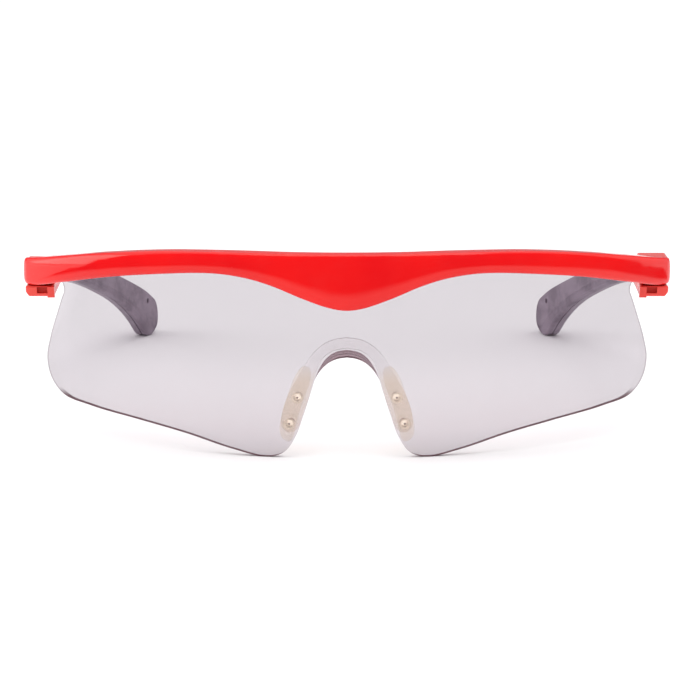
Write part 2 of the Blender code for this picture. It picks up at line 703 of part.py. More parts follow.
def pad_section(half, outer, inner):
    soft = min(0.8, 0.4 * half)
    upper = [(outer, half), (inner - soft, half), (inner - 0.3 * soft, half - 0.4 * soft),
             (inner, 0.5 * half)]
    return upper + [(a, -b) for a, b in reversed(upper)]


def temple_rings(start, section):
    """Rings from start to the rounded tip. section gives (in, up) points from a half height and a place."""
    rings = []
    stops = [b for b in spread(TEMPLE_FRONT, TIP_BACK, 26) if b > start + 0.8]
    for back in [start, *stops]:
        outer, inward, upward, _ = temple_frame(back)
        half = temple_middle(back)[1]
        rings.append([outer + inward * a + upward * b for a, b in section(half, back)])
    outer, inward, upward, run = temple_frame(TIP_BACK)
    for turn in spread(0, pi / 2, 6)[1:]:
        half = max(TIP_RADIUS * cos(turn), 0.8)
        centre = outer + run * (TIP_RADIUS * sin(turn))
        rings.append([centre + inward * a + upward * b for a, b in section(half, TIP_BACK)])
    return rings


def mirror_rings(rings, side):
    return [[Vector((side * p.x, p.y, p.z)) for p in ring] for ring in rings]


def peg(back, side, radius, start, end):
    outer, inward, upward, _ = temple_frame(back)
    outer.x, inward.x = side * outer.x, side * inward.x
    return rod(outer, inward, radius, start, end, 12)


def make_temple_arm(name, side, grey):
    def full(half, back):
        return shell_section(half, temple_width(back), 0.6)

    def outer_half(half, back):
        return shell_section(half, SHELL_WIDTH, 0.12)

    front = [r for r, b in zip(temple_rings(TEMPLE_FRONT, full),
                               spread(TEMPLE_FRONT, TIP_BACK, 26)) if b < PAD_START - 0.5]
    rings = mirror_rings(front, side)
    for back, section in ((PAD_START - 0.3, full), (PAD_START, outer_half)):
        outer, inward, upward, _ = temple_frame(back)
        ring = [outer + inward * a + upward * b for a, b in section(temple_middle(back)[1], back)]
        rings += mirror_rings([ring], side)
    rings += mirror_rings(temple_rings(PAD_START, outer_half)[1:], side)
    arm = put_in_scene(f"temple_arm_{name}", loft(rings), grey)
    boolean(arm, put_in_scene(f"join_tongue_{name}", tongue(side), None, helper=True), "UNION")
    pin = rod((0, TILT_BACK, TILT_HEIGHT), (1, 0, 0), PIN_RADIUS + RUNNING_GAP, -90, 90)
    boolean(arm, put_in_scene(f"cut_tongue_bore_{name}", pin, None, helper=True), "DIFFERENCE")
    sockets = joined(*(peg(b, side, PAD_PEG_RADIUS + FACE_GAP / 2, 0.9, TEMPLE_WIDTH) for b in PAD_PEGS))
    boolean(arm, put_in_scene(f"cut_peg_sockets_{name}", sockets, None, helper=True), "DIFFERENCE")
    boolean(arm, put_in_scene(f"cut_cord_hole_{name}", cord_hole(side), None, helper=True), "DIFFERENCE")
    return [arm]


def tongue(side):
    """The flat tongue in front of the temple, with click notches round its nose."""
    pin = Vector((0, TILT_BACK, TILT_HEIGHT))
    outline = []
    steps = 4 * CLICK_NOTCHES
    for k, a in enumerate(spread(pi / 2 - radians(20), 3 * pi / 2 + radians(20), steps)):
        dip = CLICK_DEPTH if 2 < k < steps - 2 and k % 4 == 2 else 0
        outline.append(pin + Vector((0, cos(a), sin(a))) * (TONGUE_RADIUS - dip))
    root = TEMPLE_FRONT + 1.5
    height = TONGUE_RADIUS * 0.85
    middle = temple_middle(root)[0]
    outline += [Vector((0, root, middle - height)), Vector((0, root, middle + height))]
    centre = fold_axis(side).x
    return prism(outline, (1, 0, 0), centre - TONGUE_WIDTH / 2, centre + TONGUE_WIDTH / 2)


def cord_hole(side):
    back, height = CORD_HOLE
    outer, inward, _, _ = temple_frame(back)
    outer.z = height
    outer.x, inward.x = side * outer.x, side * inward.x
    return rod(outer, inward, CORD_HOLE_RADIUS, -3, TEMPLE_WIDTH + 3, 16)


def make_temple_pad(name, side, soft):
    def inner_half(half, back):
        return pad_section(half, SHELL_WIDTH + FACE_GAP, TEMPLE_WIDTH)

    rings = mirror_rings(temple_rings(PAD_START + FACE_GAP, inner_half), side)
    pad = put_in_scene(f"temple_pad_{name}", loft(rings), soft)
    pegs = joined(*(peg(b, side, PAD_PEG_RADIUS, 0.9 + FACE_GAP, SHELL_WIDTH + 0.8) for b in PAD_PEGS))
    boolean(pad, put_in_scene(f"join_pegs_{name}", pegs, None, helper=True), "UNION")
    boolean(pad, put_in_scene(f"cut_pad_hole_{name}", cord_hole(side), None, helper=True), "DIFFERENCE")
    return [pad]


def stand_on_floor(parts):
    """Moves everything under one empty, so that the origin is under the middle of the glasses."""
    bpy.context.view_layer.update()
    graph = bpy.context.evaluated_depsgraph_get()
    corners = [part.matrix_world @ Vector(c) for part in parts for c in part.evaluated_get(graph).bound_box]
    low = Vector(min(c[i] for c in corners) for i in range(3))
    high = Vector(max(c[i] for c in corners) for i in range(3))
    root = bpy.data.objects.new("glasses", None)
    bpy.context.collection.objects.link(root)
    for made in list(bpy.data.objects):
        if made is not root and made.parent is None:
            made.parent = root
    root.location = (-(low.x + high.x) / 2, -(low.y + high.y) / 2, -low.z)
    bpy.context.view_layer.update()


def main():
    clear_scene()
    red = plastic("gloss_red", (0.84, 0.014, 0.012), 0.12)
    tint = plastic("lens_tint", (0.83, 0.78, 0.84), 0.02, transmission=1.0)
    clear = plastic("clear_silicone", (0.93, 0.91, 0.90), 0.2, transmission=0.9)
    beige = plastic("soft_beige", (0.78, 0.66, 0.52), 0.45)
    grey = plastic("temple_grey", (0.10, 0.085, 0.11), 0.5)
    rubber = plastic("temple_rubber", (0.07, 0.058, 0.075), 0.7)
    steel = plastic("screw_steel", (0.6, 0.6, 0.62), 0.3, metallic=1.0)
    brass = plastic("nut_brass", (0.75, 0.58, 0.3), 0.35, metallic=1.0)
    parts = make_brow_bar(red) + make_lens(tint) + make_nose_bridge(clear)
    for name, side in SIDES.items():
        parts += make_nose_pad(name, side, beige)
        parts += make_hinge_link(name, side, red)
        parts += make_hinge_screw(name, side, steel)
        parts += make_hinge_nut(name, side, brass)
        parts += make_tilt_pin(name, side, steel)
        parts += make_temple_arm(name, side, grey)
        parts += make_temple_pad(name, side, rubber)
    stand_on_floor(parts)


main()
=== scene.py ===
# %% [markdown]
# # Wrap-round protective glasses, cell by cell
# One clear shield lens hangs from a glossy red brow bar. A soft nose piece is buttoned through the lens,
# and two grey temples fold at the bar's ends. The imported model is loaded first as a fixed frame, and each
# visible piece is then built around it, in the same place and at the same size.

from math import acos, asin, atan2, cos, pi, radians, sin, sqrt

import bmesh
import bpy
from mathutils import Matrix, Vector


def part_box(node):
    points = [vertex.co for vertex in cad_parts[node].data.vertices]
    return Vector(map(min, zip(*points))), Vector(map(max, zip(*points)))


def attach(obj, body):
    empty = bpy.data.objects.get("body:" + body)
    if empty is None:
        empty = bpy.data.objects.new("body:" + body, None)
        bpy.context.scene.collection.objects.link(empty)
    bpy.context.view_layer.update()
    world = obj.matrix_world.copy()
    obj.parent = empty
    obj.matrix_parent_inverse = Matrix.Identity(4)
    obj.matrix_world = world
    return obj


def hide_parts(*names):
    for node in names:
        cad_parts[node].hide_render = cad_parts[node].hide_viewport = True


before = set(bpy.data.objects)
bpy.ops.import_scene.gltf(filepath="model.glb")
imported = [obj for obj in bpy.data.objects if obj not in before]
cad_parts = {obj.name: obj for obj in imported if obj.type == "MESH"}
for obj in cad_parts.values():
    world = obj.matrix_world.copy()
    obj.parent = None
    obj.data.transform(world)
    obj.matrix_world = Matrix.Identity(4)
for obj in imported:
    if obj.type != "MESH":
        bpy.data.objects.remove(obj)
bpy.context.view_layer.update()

# %% [markdown]
# ## Millimetres
# Small things are easier to think about in millimetres, measured back from the front of the lens. Two
# numbers turn that into the frame's metres: the scale, and where the front of the lens stands.

# %% One place for the units
MM = 0.001
LENS_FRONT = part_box("lens")[0].y
SIDES = {"left": -1, "right": 1}


def to_frame(point):
    """Millimetres behind the lens front and above the floor, as metres in the frame."""
    return Vector((point[0] * MM, point[1] * MM + LENS_FRONT, point[2] * MM))


def spread(start, end, steps):
    return [start + (end - start) * k / steps for k in range(steps + 1)]


print("front of the lens at y =", round(LENS_FRONT, 5))

# %% [markdown]
# ## Camera
# A long lens from a little above, well back, so that the two sides look the same and the bar's curve is
# almost flattened. The camera comes early, because everything else is judged through it.

# %% Camera
AIM_HEIGHT = 23.816
CAMERA_REACH = 600.0
CAMERA_RISE = radians(11)
camera_data = bpy.data.cameras.new("camera")
camera_data.lens = 144.16
camera_data.sensor_width = 36.0
camera_data.shift_x = 0.0043
camera_data.clip_start, camera_data.clip_end = 0.05, 50
camera = bpy.data.objects.new("camera", camera_data)
bpy.context.scene.collection.objects.link(camera)
aim = to_frame((0, 0, AIM_HEIGHT))
away = Vector((0, -cos(CAMERA_RISE), sin(CAMERA_RISE)))
camera.location = aim + away * CAMERA_REACH * MM
camera.rotation_euler = (-away).to_track_quat("-Z", "Y").to_euler()
bpy.context.scene.camera = camera
print("camera at", [round(x, 4) for x in camera.location])

# %% [markdown]
# ## Shader maths as plain sums
# A material here is a sheet of nodes. `Wire` wraps one output, so that masks can be added and multiplied
# like numbers, and `Finish.add` makes any other node from its type, its settings and its sockets.

# %% Wires and finishes


class Wire:
    """One output of a node, for use in sums."""

    def __init__(self, finish, socket):
        self.finish, self.socket = finish, socket

    def sum(self, kind, *values):
        return self.finish.add("ShaderNodeMath", {"operation": kind}, dict(enumerate(values)))

    def __add__(self, other):
        return self.sum("ADD", self, other)

    def __sub__(self, other):
        return self.sum("SUBTRACT", self, other)

    def __rsub__(self, other):
        return self.sum("SUBTRACT", other, self)

    def __mul__(self, other):
        return self.sum("MULTIPLY", self, other)

    def __pow__(self, other):
        return self.sum("POWER", self, other)

    __radd__, __rmul__ = __add__, __mul__

    def between(self, low, high):
        """0 below low, 1 above high, and smooth from one to the other."""
        settings = {"interpolation_type": "SMOOTHSTEP"}
        return self.finish.add("ShaderNodeMapRange", settings, {0: self, 1: low, 2: high})


class Finish:
    """A material, built up node by node."""

    def __init__(self, name):
        self.material = bpy.data.materials.new(name)
        self.material.use_nodes = True
        self.tree = self.material.node_tree
        self.tree.nodes.clear()
        self.output = self.tree.nodes.new("ShaderNodeOutputMaterial")

    def add(self, kind, settings=None, sockets=None, out=0):
        node = self.tree.nodes.new(kind)
        for key, value in (settings or {}).items():
            setattr(node, key, value)
        for key, value in (sockets or {}).items():
            if isinstance(value, Wire):
                self.tree.links.new(value.socket, node.inputs[key])
            else:
                is_colour = node.inputs[key].type == "RGBA" and len(value) == 3
                node.inputs[key].default_value = (*value, 1.0) if is_colour else value
        return Wire(self, node.outputs[out])

    def place(self):
        """Where a point is on its own piece, in metres."""
        return self.add("ShaderNodeTexCoord", out=3)

    def noise(self, scale, detail=2.0, roughness=0.5, vector=None):
        sockets = {"Vector": vector or self.place(), "Scale": scale, "Detail": detail,
                   "Roughness": roughness}
        return self.add("ShaderNodeTexNoise", None, sockets)

    def specks(self, scale, size):
        """1 in small round spots scattered over the surface, and 0 between them."""
        sockets = {"Vector": self.place(), "Scale": scale, "Randomness": 1.0}
        return 1 - self.add("ShaderNodeTexVoronoi", None, sockets).between(0.4 * size, size)

    def mix(self, share, first, second):
        return self.add("ShaderNodeMix", {"data_type": "RGBA"}, {0: share, 6: first, 7: second}, out=2)

    def bump(self, height, distance, strength=1.0):
        sockets = {"Strength": strength, "Distance": distance, "Height": height}
        return self.add("ShaderNodeBump", None, sockets)

    def shader(self, **sockets):
        names = {key.replace("_", " "): value for key, value in sockets.items()}
        return self.add("ShaderNodeBsdfPrincipled", None, names)

    def clear(self, colour):
        return self.add("ShaderNodeBsdfTransparent", None, {"Color": colour})

    def mixed(self, share, first, second):
        return self.add("ShaderNodeMixShader", None, {0: share, 1: first, 2: second})

    def part(self, axis, vector=None):
        """The x, y or z (0, 1 or 2) of a vector, or of a point's place on its own piece."""
        return self.add("ShaderNodeSeparateXYZ", None, {0: vector or self.place()}, out=axis)

    def edge_on(self):
        """0 where a surface is seen straight on, rising to 1 where it is seen edge-on."""
        return self.add("ShaderNodeLayerWeight", None, {"Blend": 0.5}, out=1)

    def done(self, shader):
        self.tree.links.new(shader.socket, self.output.inputs["Surface"])
        return self.material


print("shader helpers ready")

# %% [markdown]
# ## Building by loft
# Nearly every part of these glasses is a section carried along a curve, so the main tool is a loft: rings
# of points joined by four-sided faces, and closed at both ends. Curves come from a few points with a smooth
# line through them, cut finely enough that no facet shows in a reflection.

# %% Curves through a few points


def smooth_value(points, x):
    """The height at x of a smooth curve through points, which is level past its ends."""
    x = min(max(x, points[0][0]), points[-1][0])
    last = len(points) - 1
    i = max(k for k in range(last) if points[k][0] <= x)

    def slope(k):
        before, after = points[max(k - 1, 0)], points[min(k + 1, last)]
        return 0.0 if k in (0, last) else (after[1] - before[1]) / (after[0] - before[0])

    (x0, y0), (x1, y1) = points[i][:2], points[i + 1][:2]
    span = x1 - x0
    t = (x - x0) / span
    return ((2 * t**3 - 3 * t**2 + 1) * y0 + (t**3 - 2 * t**2 + t) * span * slope(i)
            + (3 * t**2 - 2 * t**3) * y1 + (t**3 - t**2) * span * slope(i + 1))


def through_four(a, b, c, d, steps):
    """Points from b towards c on the smooth curve through all four (centripetal Catmull-Rom)."""
    knots = [0.0]
    for p, q in ((a, b), (b, c), (c, d)):
        knots.append(knots[-1] + sqrt((q - p).length))
    for k in range(steps):
        t = knots[1] + (knots[2] - knots[1]) * k / steps
        ab, bc, cd = (
            p + (q - p) * ((t - knots[i]) / (knots[i + 1] - knots[i]))
            for i, (p, q) in enumerate(((a, b), (b, c), (c, d)))
        )
        abc = ab + (bc - ab) * ((t - knots[0]) / (knots[2] - knots[0]))
        bcd = bc + (cd - bc) * ((t - knots[1]) / (knots[3] - knots[1]))
        yield abc + (bcd - abc) * ((t - knots[1]) / (knots[2] - knots[1]))


def smooth_path(points, steps):
    """A smooth open curve through points, with steps pieces between each two."""
    points = [Vector(p) for p in points]
    points = [points[0] * 2 - points[1], *points, points[-1] * 2 - points[-2]]
    path = []
    for four in zip(points, points[1:], points[2:], points[3:]):
        path += through_four(*four, steps)
    return [*path, points[-2]]


def smooth_ring(points, steps):
    """A smooth closed curve through points."""
    points = [Vector(p) for p in points]
    count = len(points)
    ring = []
    for i in range(count):
        ring += through_four(*(points[(i + k) % count] for k in (-1, 0, 1, 2)), steps)
    return ring


print("a test curve has", len(smooth_path([(0, 0), (1, 2), (3, 1)], 5)), "points")

# %% Meshes and pieces
SHARP = 35  # degrees: an edge sharper than this isn't shaded as if it were round


def new_piece(name, mesh, materials, sharp=SHARP):
    """An object from a mesh in millimetres, with soft shading except across edges sharper than this."""
    for vert in mesh.verts:
        vert.co = to_frame(vert.co)
    bmesh.ops.recalc_face_normals(mesh, faces=mesh.faces)
    data = bpy.data.meshes.new(name)
    mesh.to_mesh(data)
    mesh.free()
    for material in materials:
        data.materials.append(material)
    data.set_sharp_from_angle(angle=radians(sharp))
    piece = bpy.data.objects.new(name, data)
    bpy.context.scene.collection.objects.link(piece)
    return piece


def stand_for(piece, body, slot, *nodes):
    """Lets a piece ride on a body, and hides the frame's nodes whose place it takes; slot is not used."""
    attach(piece, body)
    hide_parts(*nodes)
    print(piece.name, len(piece.data.polygons), "faces")


def loft(rings):
    """A closed solid through rings of the same number of points."""
    mesh = bmesh.new()
    rows = [[mesh.verts.new(p) for p in ring] for ring in rings]
    for low, high in zip(rows, rows[1:]):
        for i, here in enumerate(low):
            j = (i + 1) % len(low)
            mesh.faces.new((here, low[j], high[j], high[i]))
    mesh.faces.new(rows[0][::-1])
    mesh.faces.new(rows[-1])
    return mesh


def circle(centre, across, up, radius, segments=32):
    across, up = Vector(across), Vector(up)
    turns = (2 * pi * k / segments for k in range(segments))
    return [Vector(centre) + across * (radius * cos(a)) + up * (radius * sin(a)) for a in turns]


def turned(centre, along, profile):
    """A solid of revolution: profile holds (distance along, radius)."""
    along = Vector(along).normalized()
    across = along.orthogonal().normalized()
    up = along.cross(across)
    return loft([circle(Vector(centre) + along * d, across, up, r) for d, r in profile])


def prism(outline, along, start, end):
    """An outline carried straight from start to end along a way."""
    shift = Vector(along)
    flat = [Vector(p) for p in outline]
    return loft([[p + shift * start for p in flat], [p + shift * end for p in flat]])


def carve(piece, mesh, operation="DIFFERENCE"):
    """Cuts a mesh out of the piece, or joins it on, and leaves the result in the piece's own mesh."""
    tool = new_piece("tool", mesh, [])
    modifier = piece.modifiers.new("tool", "BOOLEAN")
    modifier.operation, modifier.object, modifier.solver = operation, tool, "EXACT"
    keep_shape(piece)
    bpy.data.objects.remove(tool)


def keep_shape(piece):
    """Works out the modifiers and keeps their result as the piece's mesh."""
    shaped = piece.evaluated_get(bpy.context.evaluated_depsgraph_get())
    data = bpy.data.meshes.new_from_object(shaped)
    data.name = piece.name
    piece.modifiers.clear()
    piece.data = data
    data.set_sharp_from_angle(angle=radians(SHARP))


print("mesh helpers ready")

# %% [markdown]
# ## The lens's curve
# The lens is a slice of an upright cylinder of 90 mm radius. Points on it, and on everything that follows
# it, are given by the distance round it from the middle, a height, and how far they stand out from its
# face.

# %% Places round the lens
LENS_RADIUS = 90.0
LENS_THICKNESS = 2.0
BAR_TOP = ((0.0, 44.5), (12.0, 44.5), (24.0, 44.5), (37.5, 44.05), (48.0, 43.2), (59.5, 41.8),
           (69.4, 40.3), (77.0, 39.1), (84.0, 38.3), (97.0, 38.2))
BAR_BOTTOM = ((0.0, 32.4), (4.0, 33.0), (9.8, 35.0), (15.8, 37.4), (21.8, 39.0), (29.0, 39.7),
              (38.4, 39.15), (54.2, 37.15), (69.4, 34.3), (80.0, 32.4), (95.0, 32.3))


def facing(angle):
    """The level direction at this angle from straight ahead, turning to the right seen from the front."""
    return Vector((sin(angle), -cos(angle), 0))


def on_lens(along, height, proud=0.0):
    return Vector((0, LENS_RADIUS, height)) + facing(along / LENS_RADIUS) * (LENS_RADIUS + proud)


def out_from_axis(finish):
    """How far a point of a surface is from the axis of the lens's curve, in metres."""
    x, y = finish.part(0), finish.part(1) - to_frame((0, LENS_RADIUS, 0)).y
    return (x * x + y * y) ** 0.5


def bar_bottom(along):
    return smooth_value(BAR_BOTTOM, abs(along))


def bar_top(along):
    return smooth_value(BAR_TOP, abs(along))


print("bar height in the middle:", round(bar_top(0) - bar_bottom(0), 1))

# %% [markdown]
# ## Red for the bar
# Moulded gloss plastic is one colour with a hard, clean shine. Three things keep it from looking like a
# computer's red: faint flow marks in the colour, a shine that varies a little where fingers have been, and an
# almost invisible ripple that bends the edges of reflections.

# %% Glossy red plastic


def red_finish(name, body, shade, gloss=0.09):
    red = Finish(name)
    flow = red.noise(38.0, 3.0, 0.55)
    colour = red.mix(flow.between(0.35, 0.7), body, shade)
    dust = red.specks(420.0, 0.035) * red.noise(60.0).between(0.5, 0.62)
    shine = gloss + red.noise(120.0, 4.0).between(0.45, 0.75) * 0.08 + dust * 0.3
    ripple = red.bump(red.noise(160.0, 1.0) + red.noise(1400.0, 1.0) * 0.05, 0.00025, 0.35)
    return red.done(red.shader(
        Base_Color=red.mix(dust * 0.35, colour, (0.9, 0.30, 0.27)), Roughness=shine, Normal=ripple,
        IOR=1.47, Specular_Tint=(1.0, 0.86, 0.76, 1.0)))


RED = red_finish("gloss red plastic", (0.80, 0.008, 0.009), (0.72, 0.005, 0.008))
# the links get a lighter, coral red and a rougher shine than the bar: partly their own plastic, and partly a
# painted reflection of the white table on their faces
RED_LINK = red_finish("gloss red hinge plastic", (0.82, 0.070, 0.055), (0.76, 0.050, 0.042), 0.14)
print("made", RED.name, "and", RED_LINK.name)

# %% [markdown]
# ## Brow bar
# The bar grips the lens's top edge in a groove, dips over the nose, and turns back at each end into a lug
# for the hinge screw. Its section bulges at the front, so the lower third mirrors the table and the top edge
# mirrors the light above. The sections of one half are mirrored and lofted as a whole, and then the groove,
# the hinge recesses and the bores are cut.

# %% Bar sections
BAR_FRONT_WALL, BAR_BACK_WALL = 1.8, 1.2
BAR_CROWN, BAR_BACK_ROUND = 1.3, 0.35
BAR_HALF_WIDTH, BAR_CORNER = 73.0, 5.0
BAR_SQUARE, BAR_SQUARE_REACH = 0.55, (62.0, 80.0)
LUG_RADIUS, LUG_TOP, FOLD_BACK = 3.8, 35.15, 37.0
LINK_WIDTH, SCREW_RADIUS = 6.4, 0.8
LENS_TUCK, GROOVE_GAP, EAR_REACH = 2.5, 0.25, 73.0
RUNNING_GAP, SWING_GAP = 0.1, 0.3  # round a screw or pin, and round a link that turns
ABOVE = 60.0  # higher than anything on the glasses


def fold_axis(side):
    return Vector((side * (BAR_HALF_WIDTH - LUG_RADIUS), FOLD_BACK, 0))


def lug_start_angle():
    return asin((fold_axis(1).x - LUG_RADIUS) / (LENS_RADIUS - LENS_THICKNESS - BAR_BACK_WALL))


def bar_front_path():
    """(point, way it faces) round the bar's front corner and lug, from where its back meets the lug."""
    front_radius = LENS_RADIUS + BAR_FRONT_WALL
    centre_x = BAR_HALF_WIDTH - BAR_CORNER
    centre_y = LENS_RADIUS - sqrt((front_radius - BAR_CORNER) ** 2 - centre_x**2)
    corner = Vector((centre_x, centre_y, 0))
    corner_start = atan2(centre_x, LENS_RADIUS - centre_y)
    middle = Vector((0, LENS_RADIUS, 0))
    path = [(middle + facing(a) * front_radius, facing(a))
            for a in spread(lug_start_angle(), corner_start, 8)]
    path += [(corner + facing(a) * BAR_CORNER, facing(a)) for a in spread(corner_start, pi / 2, 20)[1:]]
    path += [(fold_axis(1) + facing(a) * LUG_RADIUS, facing(a)) for a in spread(pi / 2, pi * 0.97, 20)]
    return path


def bar_back_path(count):
    """(point, way it faces) along the lug's inner side, in as many steps as the front takes."""
    back_radius = LENS_RADIUS - LENS_THICKNESS - BAR_BACK_WALL
    pivot = fold_axis(1)
    inner = pivot.x - LUG_RADIUS
    first = Vector((inner, LENS_RADIUS - back_radius * cos(lug_start_angle()), 0))
    straight = count // 2
    inward = Vector((-1, 0, 0))
    path = [(first.lerp(Vector((inner, pivot.y, 0)), k / straight), inward) for k in range(straight)]
    path += [(pivot + facing(a) * LUG_RADIUS, facing(a))
             for a in spread(pi * 1.5, pi * 1.03, count - straight - 1)]
    return path


def bar_section(front, front_way, back, back_way, along):
    """A section that is oval in front over the nose, and squarer towards the bar's ends."""
    top, bottom = bar_top(along), bar_bottom(along)
    middle, half = (top + bottom) / 2, (top - bottom) / 2
    start, end = BAR_SQUARE_REACH
    power = 1 + (BAR_SQUARE - 1) * min(max((along - start) / (end - start), 0.0), 1.0)
    ring = []
    for turn in spread(-pi / 2, pi / 2, 30):
        point = front - front_way * (BAR_CROWN * (1 - max(cos(turn), 0.0) ** power))
        rise = abs(sin(turn)) ** power * (1 if turn > 0 else -1)
        ring.append(Vector((point.x, point.y, middle + half * rise)))
    for turn in spread(pi / 2, -pi / 2, 12):
        point = back - back_way * (BAR_BACK_ROUND * (1 - cos(turn)))
        ring.append(Vector((point.x, point.y, middle + half * sin(turn))))
    return ring


def bar_rings():
    """Rings from the middle of the bar to the back of its right-hand lug."""
    end = lug_start_angle()
    rings = []
    for angle in spread(0, end, 80)[:-1]:
        along = angle * LENS_RADIUS
        rings.append(bar_section(
            on_lens(along, 0, BAR_FRONT_WALL), facing(angle),
            on_lens(along, 0, -LENS_THICKNESS - BAR_BACK_WALL), -facing(angle), along))
    front = bar_front_path()
    back = bar_back_path(len(front))
    along = end * LENS_RADIUS
    for i, ((point, way), (behind, behind_way)) in enumerate(zip(front, back)):
        if i:
            along += (point - front[i - 1][0]).length
        rings.append(bar_section(point, way, behind, behind_way, along))
    return rings


print(len(bar_rings()), "sections in half a bar")

# %% Bar piece


def lens_groove():
    reach = EAR_REACH + GROOVE_GAP
    front, back = GROOVE_GAP, -LENS_THICKNESS - GROOVE_GAP
    rings = []
    for along in spread(-reach, reach, 150):
        low, high = bar_bottom(along) - 4, bar_bottom(along) + LENS_TUCK + GROOVE_GAP
        rings.append([on_lens(along, z, proud)
                      for z, proud in ((low, front), (high, front), (high, back), (low, back))])
    return loft(rings)


def ear_recess(side):
    """The step in the lug that the hinge link's upper ear turns over."""
    pivot, radius, lip, far = fold_axis(side), LINK_WIDTH / 2 + SWING_GAP, radians(55), 4 * LUG_RADIUS
    outline = [Vector((-far, -radius, 0))]
    outline += [facing(a) * radius for a in spread(0, lip, 20)]
    outline += [Vector((far, -radius * cos(lip), 0)), Vector((far, far, 0)), Vector((-far, far, 0))]
    return prism([pivot + Vector((side * p.x, p.y, 0)) for p in outline], (0, 0, 1), LUG_TOP, ABOVE)


half_bar = bar_rings()
other_half = [[Vector((-p.x, p.y, p.z)) for p in ring] for ring in half_bar[:0:-1]]
bar = new_piece("brow_bar_moulding", loft(other_half + half_bar), [RED])
carve(bar, lens_groove())
bore = SCREW_RADIUS + RUNNING_GAP
for side in SIDES.values():
    carve(bar, ear_recess(side))
    carve(bar, turned(fold_axis(side), (0, 0, 1), ((20, bore), (ABOVE, bore))))
stand_for(bar, "front", "bar", "brow_bar")

# %% [markdown]
# ## Clear lens
# The lens is two millimetres of tinted polycarbonate with parallel faces, so what is behind it isn't bent,
# only dimmed. Each face therefore lets the light straight through with half of the tint, and mirrors a share
# that is small face-on and rises towards the edge. The rim gathers light from inside the sheet, so it looks
# dark and purplish where it faces up or down, and almost clear at the sides.

# %% Lens finishes
CLEAR_TINT = (0.803, 0.784, 0.800)
lens_face = Finish("tinted clear lens")
smudge = lens_face.noise(45.0, 4.0, 0.6).between(0.5, 0.8)
face_mirror = 0.035 + lens_face.edge_on() ** 5 * 0.9 + smudge * 0.012
gloss = lens_face.shader(Base_Color=(0.95, 0.94, 0.97), Metallic=1.0, Roughness=0.02 + smudge * 0.12)
LENS_FACE = lens_face.done(lens_face.mixed(face_mirror, lens_face.clear(CLEAR_TINT), gloss))

lens_rim = Finish("lens rim")
rim_slope = lens_rim.part(2, lens_rim.add("ShaderNodeNewGeometry", out=1))
facing_down = rim_slope.sum("ABSOLUTE", rim_slope).between(0.80, 0.99)
rim_out = out_from_axis(lens_rim)
dark_side, front_line = rim_out.between(0.0885, 0.0890), rim_out.between(0.0895, 0.0900)
rim_grain = lens_rim.noise(900.0, 2.0)
# painted shade: the rim's dark body colour stands in for the dark look that light gathered inside the sheet
# gives it, full on the rim's outer half where it faces up or down, and a fainter line along its front edge at
# the sides
rim_body = lens_rim.shader(
    Base_Color=lens_rim.mix(rim_grain, (0.09, 0.010, 0.022), (0.15, 0.030, 0.050)), Roughness=0.45,
    Specular_IOR_Level=0.2, Normal=lens_rim.bump(rim_grain, 0.00003, 0.4))
LENS_RIM = lens_rim.done(lens_rim.mixed(
    0.03 + facing_down * dark_side * 0.93 + (1 - facing_down) * front_line * 0.4,
    lens_rim.clear(CLEAR_TINT), rim_body))
print("made", LENS_FACE.name, "and", LENS_RIM.name)

# %% Lens piece
EAR_NOTCH, EAR_NOTCH_RADIUS = Vector((72.1, 32.5)), 2.4
LENS_EDGE = (
    (70.3, 31.0), (72.2, 27.1), (75.0, 21.0), (76.3, 16.2), (74.9, 12.1), (70.6, 8.8),
    (61.5, 7.35), (48.0, 5.9), (36.0, 4.0), (25.0, 1.3), (17.5, 0.0), (13.6, 1.2),
    (11.4, 4.3), (9.6, 9.0), (7.9, 14.2), (6.7, 17.7), (4.7, 20.35), (2.4, 21.75), (0.0, 22.2),
)
STUDS = ((10.7, 13.3), (12.45, 7.5))
STUD_RADIUS, STUD_GAP = 0.8, 0.1
LENS_STEP = 2.0
FLAT_ENOUGH = 0.97  # how squarely one of the two large faces looks away from, or at, the curve's axis
stud_places = [(side * s, z) for side in SIDES.values() for s, z in STUDS]


def lens_outline():
    """The lens's edge, flattened: distance round the front face, and height."""
    top = [Vector((s, bar_bottom(s) + LENS_TUCK)) for s in spread(0, EAR_REACH, 60)]
    start = acos((EAR_REACH - EAR_NOTCH.x) / EAR_NOTCH_RADIUS)
    turns = spread(start, radians(195), 20)
    arc = [EAR_NOTCH + Vector((cos(a), sin(a))) * EAR_NOTCH_RADIUS for a in turns]
    half = top + arc + smooth_path([arc[-1], *LENS_EDGE], 10)[1:]
    return half + [Vector((-p.x, p.y)) for p in half[-2:0:-1]]


def flat_loop(mesh, points):
    verts = [mesh.verts.new((p[0], p[1], 0)) for p in points]
    return [mesh.edges.new(pair) for pair in zip(verts, verts[1:] + verts[:1])]


def lens_sheet():
    mesh = bmesh.new()
    edges = flat_loop(mesh, lens_outline())
    for s, z in stud_places:
        edges += flat_loop(mesh, circle((s, z, 0), (1, 0, 0), (0, 1, 0), STUD_RADIUS + STUD_GAP, 24))
    bmesh.ops.triangle_fill(mesh, use_beauty=True, edges=edges)
    widest = max(v.co.x for v in mesh.verts)
    for along in spread(-widest, widest, round(2 * widest / LENS_STEP))[1:-1]:
        everything = [*mesh.verts, *mesh.edges, *mesh.faces]
        bmesh.ops.bisect_plane(mesh, geom=everything, plane_co=(along, 0, 0), plane_no=(1, 0, 0))
    front = list(mesh.verts)
    grown = bmesh.ops.extrude_face_region(mesh, geom=list(mesh.faces), use_keep_orig=True)
    back = [item for item in grown["geom"] if isinstance(item, bmesh.types.BMVert)]
    for verts, proud in ((front, 0.0), (back, -LENS_THICKNESS)):
        for vert in verts:
            vert.co = on_lens(vert.co.x, vert.co.y, proud)
    return mesh


